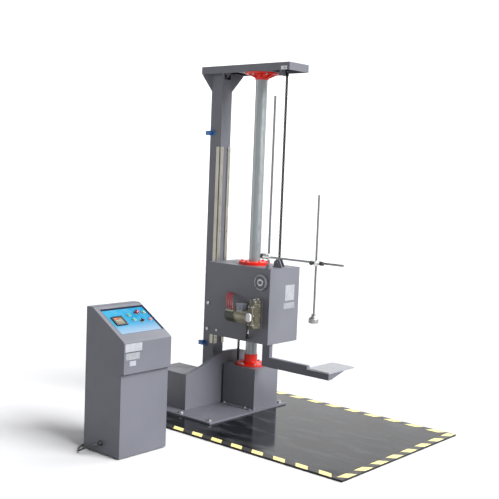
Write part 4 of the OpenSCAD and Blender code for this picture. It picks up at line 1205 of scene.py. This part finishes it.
@dataclass
class ReleaseDrive:
    """The worm gearbox, its motor and their wiring on the carriage's side.

    Attributes:
        lead_starts: Where the red leads leave the motor, along X.
        lead_radius: Of a red lead.
        worm_height: Of the motor's axis.
        hose_radius: Of the hose.
        hose_top: Where the hose leaves the motor.
        hose_bend: How high its bend starts.
        hose_run: What the hose's bend covers along each axis.
        hose_share: How much of a quarter turn the bend makes, in degrees.
    """

    lead_starts: tuple[float, ...] = (-18.0, -3.0, 12.0, 27.0)
    lead_radius: float = 3.8
    worm_height: float = 632.0
    hose_radius: float = 7.0
    hose_top: Point = (133.0, -205.0, 588.7)
    hose_bend: float = 563.0
    hose_run: Point = (-49.0, 56.0, -74.0)
    hose_share: float = 85.4

    def lead_route(self, x: float) -> list[Point]:
        """Gives a red lead's way from the motor's end cover to the carriage's wall."""
        z = self.worm_height
        return [
            (x, -229, z + 37.3), (x, -229, z + 46), (x - 7, -228, z + 65),
            (x - 19, -219, z + 88), (x - 37, -200, z + 108), (x - 54, -178, z + 121),
            (x - 63, -162, z + 126), (x - 65, -154, z + 127), (x - 65, -148.8, z + 127),
        ]

    def hose_path(self) -> list[Vector]:
        """Gives the hose's way, straight down and then in a quarter of a circle to the wall."""
        top = Vector(self.hose_top)
        bend = Vector((top.x, top.y, self.hose_bend))
        run = Vector(self.hose_run)
        path = [top + (bend - top) * share for share in (0.0, 0.25, 0.5, 0.75)]
        steps = 12
        for step in range(steps + 1):
            turn = math.radians(self.hose_share) * step / steps
            aside = 1 - math.cos(turn)
            path.append(bend + Vector((run.x * aside, run.y * aside, run.z * math.sin(turn))))
        return path

    def line(self, name: str, path: Sequence[Vector], radius: float, sides: int, finish: Finish) -> Piece:
        """Args:
            name: Its name.
            path: Its centreline.
            radius: Of its section.
            sides: The section's facets.
            finish: Its finish.

        Returns:
            The lead or hose.
        """
        made = Shaper().tube(path, radius, sides).piece(name, "carriage", finish)
        return made

    def wiring(self) -> None:
        """Makes the red leads and the hose with its fitting and tag."""
        for index, x in enumerate(self.lead_starts):
            path = smooth_path(self.lead_route(x), 4)
            lead = self.line(f"motor_lead_{index + 1}", path, self.lead_radius, 14, WIRE_RED)
            if index == 0:
                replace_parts(lead, "motor_wiring")
        path = self.hose_path()
        self.line("motor_hose", path, self.hose_radius, 20, HOSE)
        end, ahead = path[-1], (path[-1] - path[-2]).normalized()
        gland = Shaper().drum(end - ahead * 14, end + ahead * 1.5, 9.6, 24)
        gland.drum(end - ahead * 20, end - ahead * 13, 8.4, 24)
        gland.piece("hose_fitting", "carriage", KNOB, edge=0.6)
        high, low = path[5], path[8]
        tag = Shaper().box((low.x + 5.4, low.y - 6, low.z), (high.x + 12, high.y + 5, high.z))
        tag.piece("hose_tag", "carriage", WHITE_CAP, edge=1.2)

    def fittings(self) -> None:
        """Adds the gearbox's small screws and light strips along its edges, which are painted highlights."""
        screws = Shaper()
        head = [(4.6, 0), (4.6, 3.4), (3.8, 4.2), (2.4, 4.2), (2.4, 2.0), (0, 2.0)]
        side = Matrix.Rotation(math.pi / 2, 4, "Y")
        front = Matrix.Rotation(math.pi / 2, 4, "X")
        for y in (-228, -172):
            for z in (592, 652, 706):
                screws.lathe(head, 20, 0, Matrix.Translation((199.8, y, z)) @ side)
        for x, z in ((169, 594), (192, 594), (169, 706), (192, 706)):
            screws.lathe(head, 20, 0, Matrix.Translation((x, -237.8, z)) @ front)
        screws.piece("gearbox_screws", "carriage", ZINC)
        edges = Shaper()
        # Thin light tubes along the gearbox's edges: painted highlights.
        edges.tube([Vector((197.6, -236.4, z)) for z in (588, 612, 640, 668, 692, 712)], 1.8, 10)
        for z in (578.6, 721.6):
            edges.tube([Vector((200.0, y, z)) for y in (-231, -215, -190, -170, -158)], 1.6, 10)
        edges.tube([Vector((166.0, -221.8, z)) for z in (722, 734, 749)], 1.5, 10)
        edges.piece("gearbox_worn_edges", "carriage", EDGE_HIGHLIGHT)

    def build(self) -> None:
        """Dresses the gearbox and motor."""
        self.wiring()
        self.fittings()
        dress(GEAR_ALLOY, "worm_gearbox", edge=1.0)
        dress(ALLOY, "arm_motor", edge=1.0)


@dataclass
class HoldingFixture:
    """The rods, clamps and knobs that hold a package on the arm."""

    def build(self) -> None:
        """Dresses the fixture."""
        dress(ROD, "support_rod")
        dress(CROSS_ROD, "cross_rod")
        dress(FOOT, "boss_a", "boss_b", edge=0.6)
        dress(KNOB, "knob_a", "knob_b", "knob_c", edge=0.8)
        dress(PLUNGER, "plunger", edge=0.6)


@dataclass
class Console:
    """The control console: its case, printed panel, meter and buttons.

    Attributes:
        corner: The sloping face's top corner, in millimetres.
        lean: The sloping face's angle below level, in radians.
        lip: The upper front face.
        buttons: The buttons' places down and across the sloping face; the second is the stop button.
        panel_start: The printed panel's first corner, likewise.
        panel_end: Its last corner.
    """

    corner: Point = (30.0, -1364.0, 787.0)
    lean: float = math.atan2(156.0, 264.0)
    lip: float = 294.0
    buttons: tuple[Pair, ...] = ((100, 180), (92, 241), (91, 294), (142, 189), (158, 235), (154, 297))
    panel_start: Pair = (28.0, 29.0)
    panel_end: Pair = (240.0, 334.0)

    def on_slope(self) -> Matrix:
        """Gives the move from the sloping face's own plane to the frame."""
        return Matrix.Translation(self.corner) @ Matrix.Rotation(self.lean, 4, "Y")

    def fittings(self) -> None:
        """Makes the meter and the bright rings of the buttons, in the panel's own plane."""
        move = self.on_slope()
        case, face, display, key = range(4)
        shapes = [
            (case, (104, 46, 1.2), (174, 53, 9)),
            (case, (104, 115, 1.2), (174, 122, 9)),
            (case, (104, 53, 1.2), (111, 115, 9)),
            (case, (167, 53, 1.2), (174, 115, 9)),
            (case, (111, 53, -58), (167, 115, 4.6)),
            (face, (111.2, 53.2, 4.6), (166.8, 114.8, 5.6)),
            (display, (115, 58, 5.6), (128, 92, 6.4)),
            (key, (131, 62, 5.6), (140, 108, 6.2)),
            *((key, (146, y, 5.6), (156, y + 9, 7.2)) for y in (60, 73, 86, 99)),
        ]
        meter = Shaper()
        for slot, low, high in shapes:
            meter.box(low, high, slot, move)
        made = meter.piece("panel_meter", "frame", BLACK_CASE, METER_FACE, DISPLAY, KEYS, edge=0.6)
        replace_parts(made, "panel_fittings")
        rings = Shaper()
        profile = [(9.4, 1.2), (9.4, 4.4), (10.4, 5.2), (12.6, 5.0), (14.2, 3.2), (14.5, 1.2)]
        for x, y in self.buttons:
            place = move @ Matrix.Translation((x, y, 0))
            rings.lathe(profile, 40, 0, place).lathe([(10.9, -28), (10.9, 1.2)], 32, 0, place)
        rings.piece("button_rings", "frame", BEZEL)

    def stop(self) -> None:
        """Makes the mushroom stop button."""
        x, y = self.buttons[1]
        cap = [(0, 22.4), (5, 22.0), (9.6, 20.2), (12.6, 16.6), (13.6, 13.0), (13.2, 10.6), (12.0, 9.8)]
        stem = [(9.0, 9.5), (8.8, 1.3), (5, 1.2), (5, -12), (0, -12)]
        button = Shaper().lathe([*cap, *stem], 56, 0, self.on_slope() @ Matrix.Translation((x, y, 0)))
        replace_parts(button.piece("stop_mushroom", "stop_button", RED_BUTTON), "stop_button")

    def plates(self) -> None:
        """Sticks the bare plates on the case's front."""
        face = self.lip
        white, grey, dark = range(3)
        plates = Shaper().box((face, -1357, 579), (face + 0.7, -1240, 623), white)
        plates.box((face, -1357, 575.4), (face + 0.7, -1240, 578.4), dark)
        plates.box((face, -1351, 537), (face + 0.5, -1255, 573), grey)
        plates.box((face, -1325, 503), (face + 0.6, -1281, 529), white)
        plates.piece("bare_console_plates", "frame", WHITE_PLATE, GREY_PLATE, DARK_LINE, edge=0.15)

    def build(self) -> None:
        """Dresses the console."""
        (top, left), (bottom, right) = self.panel_start, self.panel_end
        panel = PanelPrint(
            "printed_panel_foil", "panel_blue", srgb(34, 108, 136), 0.35,
            origin=tuple(Vector(self.corner) * MM),
            slope=self.lean,
            start=(top * MM, left * MM),
            length=(bottom - top) * MM,
            width=(right - left) * MM,
        )
        dress(GREY_CASE, "console_case", edge=3.0)
        dress(panel, "control_panel")
        self.fittings()
        self.plates()
        dress(GREEN, "button_start", "button_lower", "button_reset", edge=0.8)
        dress(RED_LAMP, "button_lamp", edge=0.8)
        self.stop()
        dress(KNOB, "selector", edge=0.5)


PARTS = (
    Studio, PowerLead, ImpactBase, Columns, LiftDrive,
    Carriage, DropArm, ReleaseDrive, HoldingFixture, Console,
)


def main() -> None:
    """Builds the studio and every sub-assembly in order."""
    logging.basicConfig(level=logging.INFO, format="%(message)s")
    for part in PARTS:
        part().build()


if __name__ == "__main__":
    main()
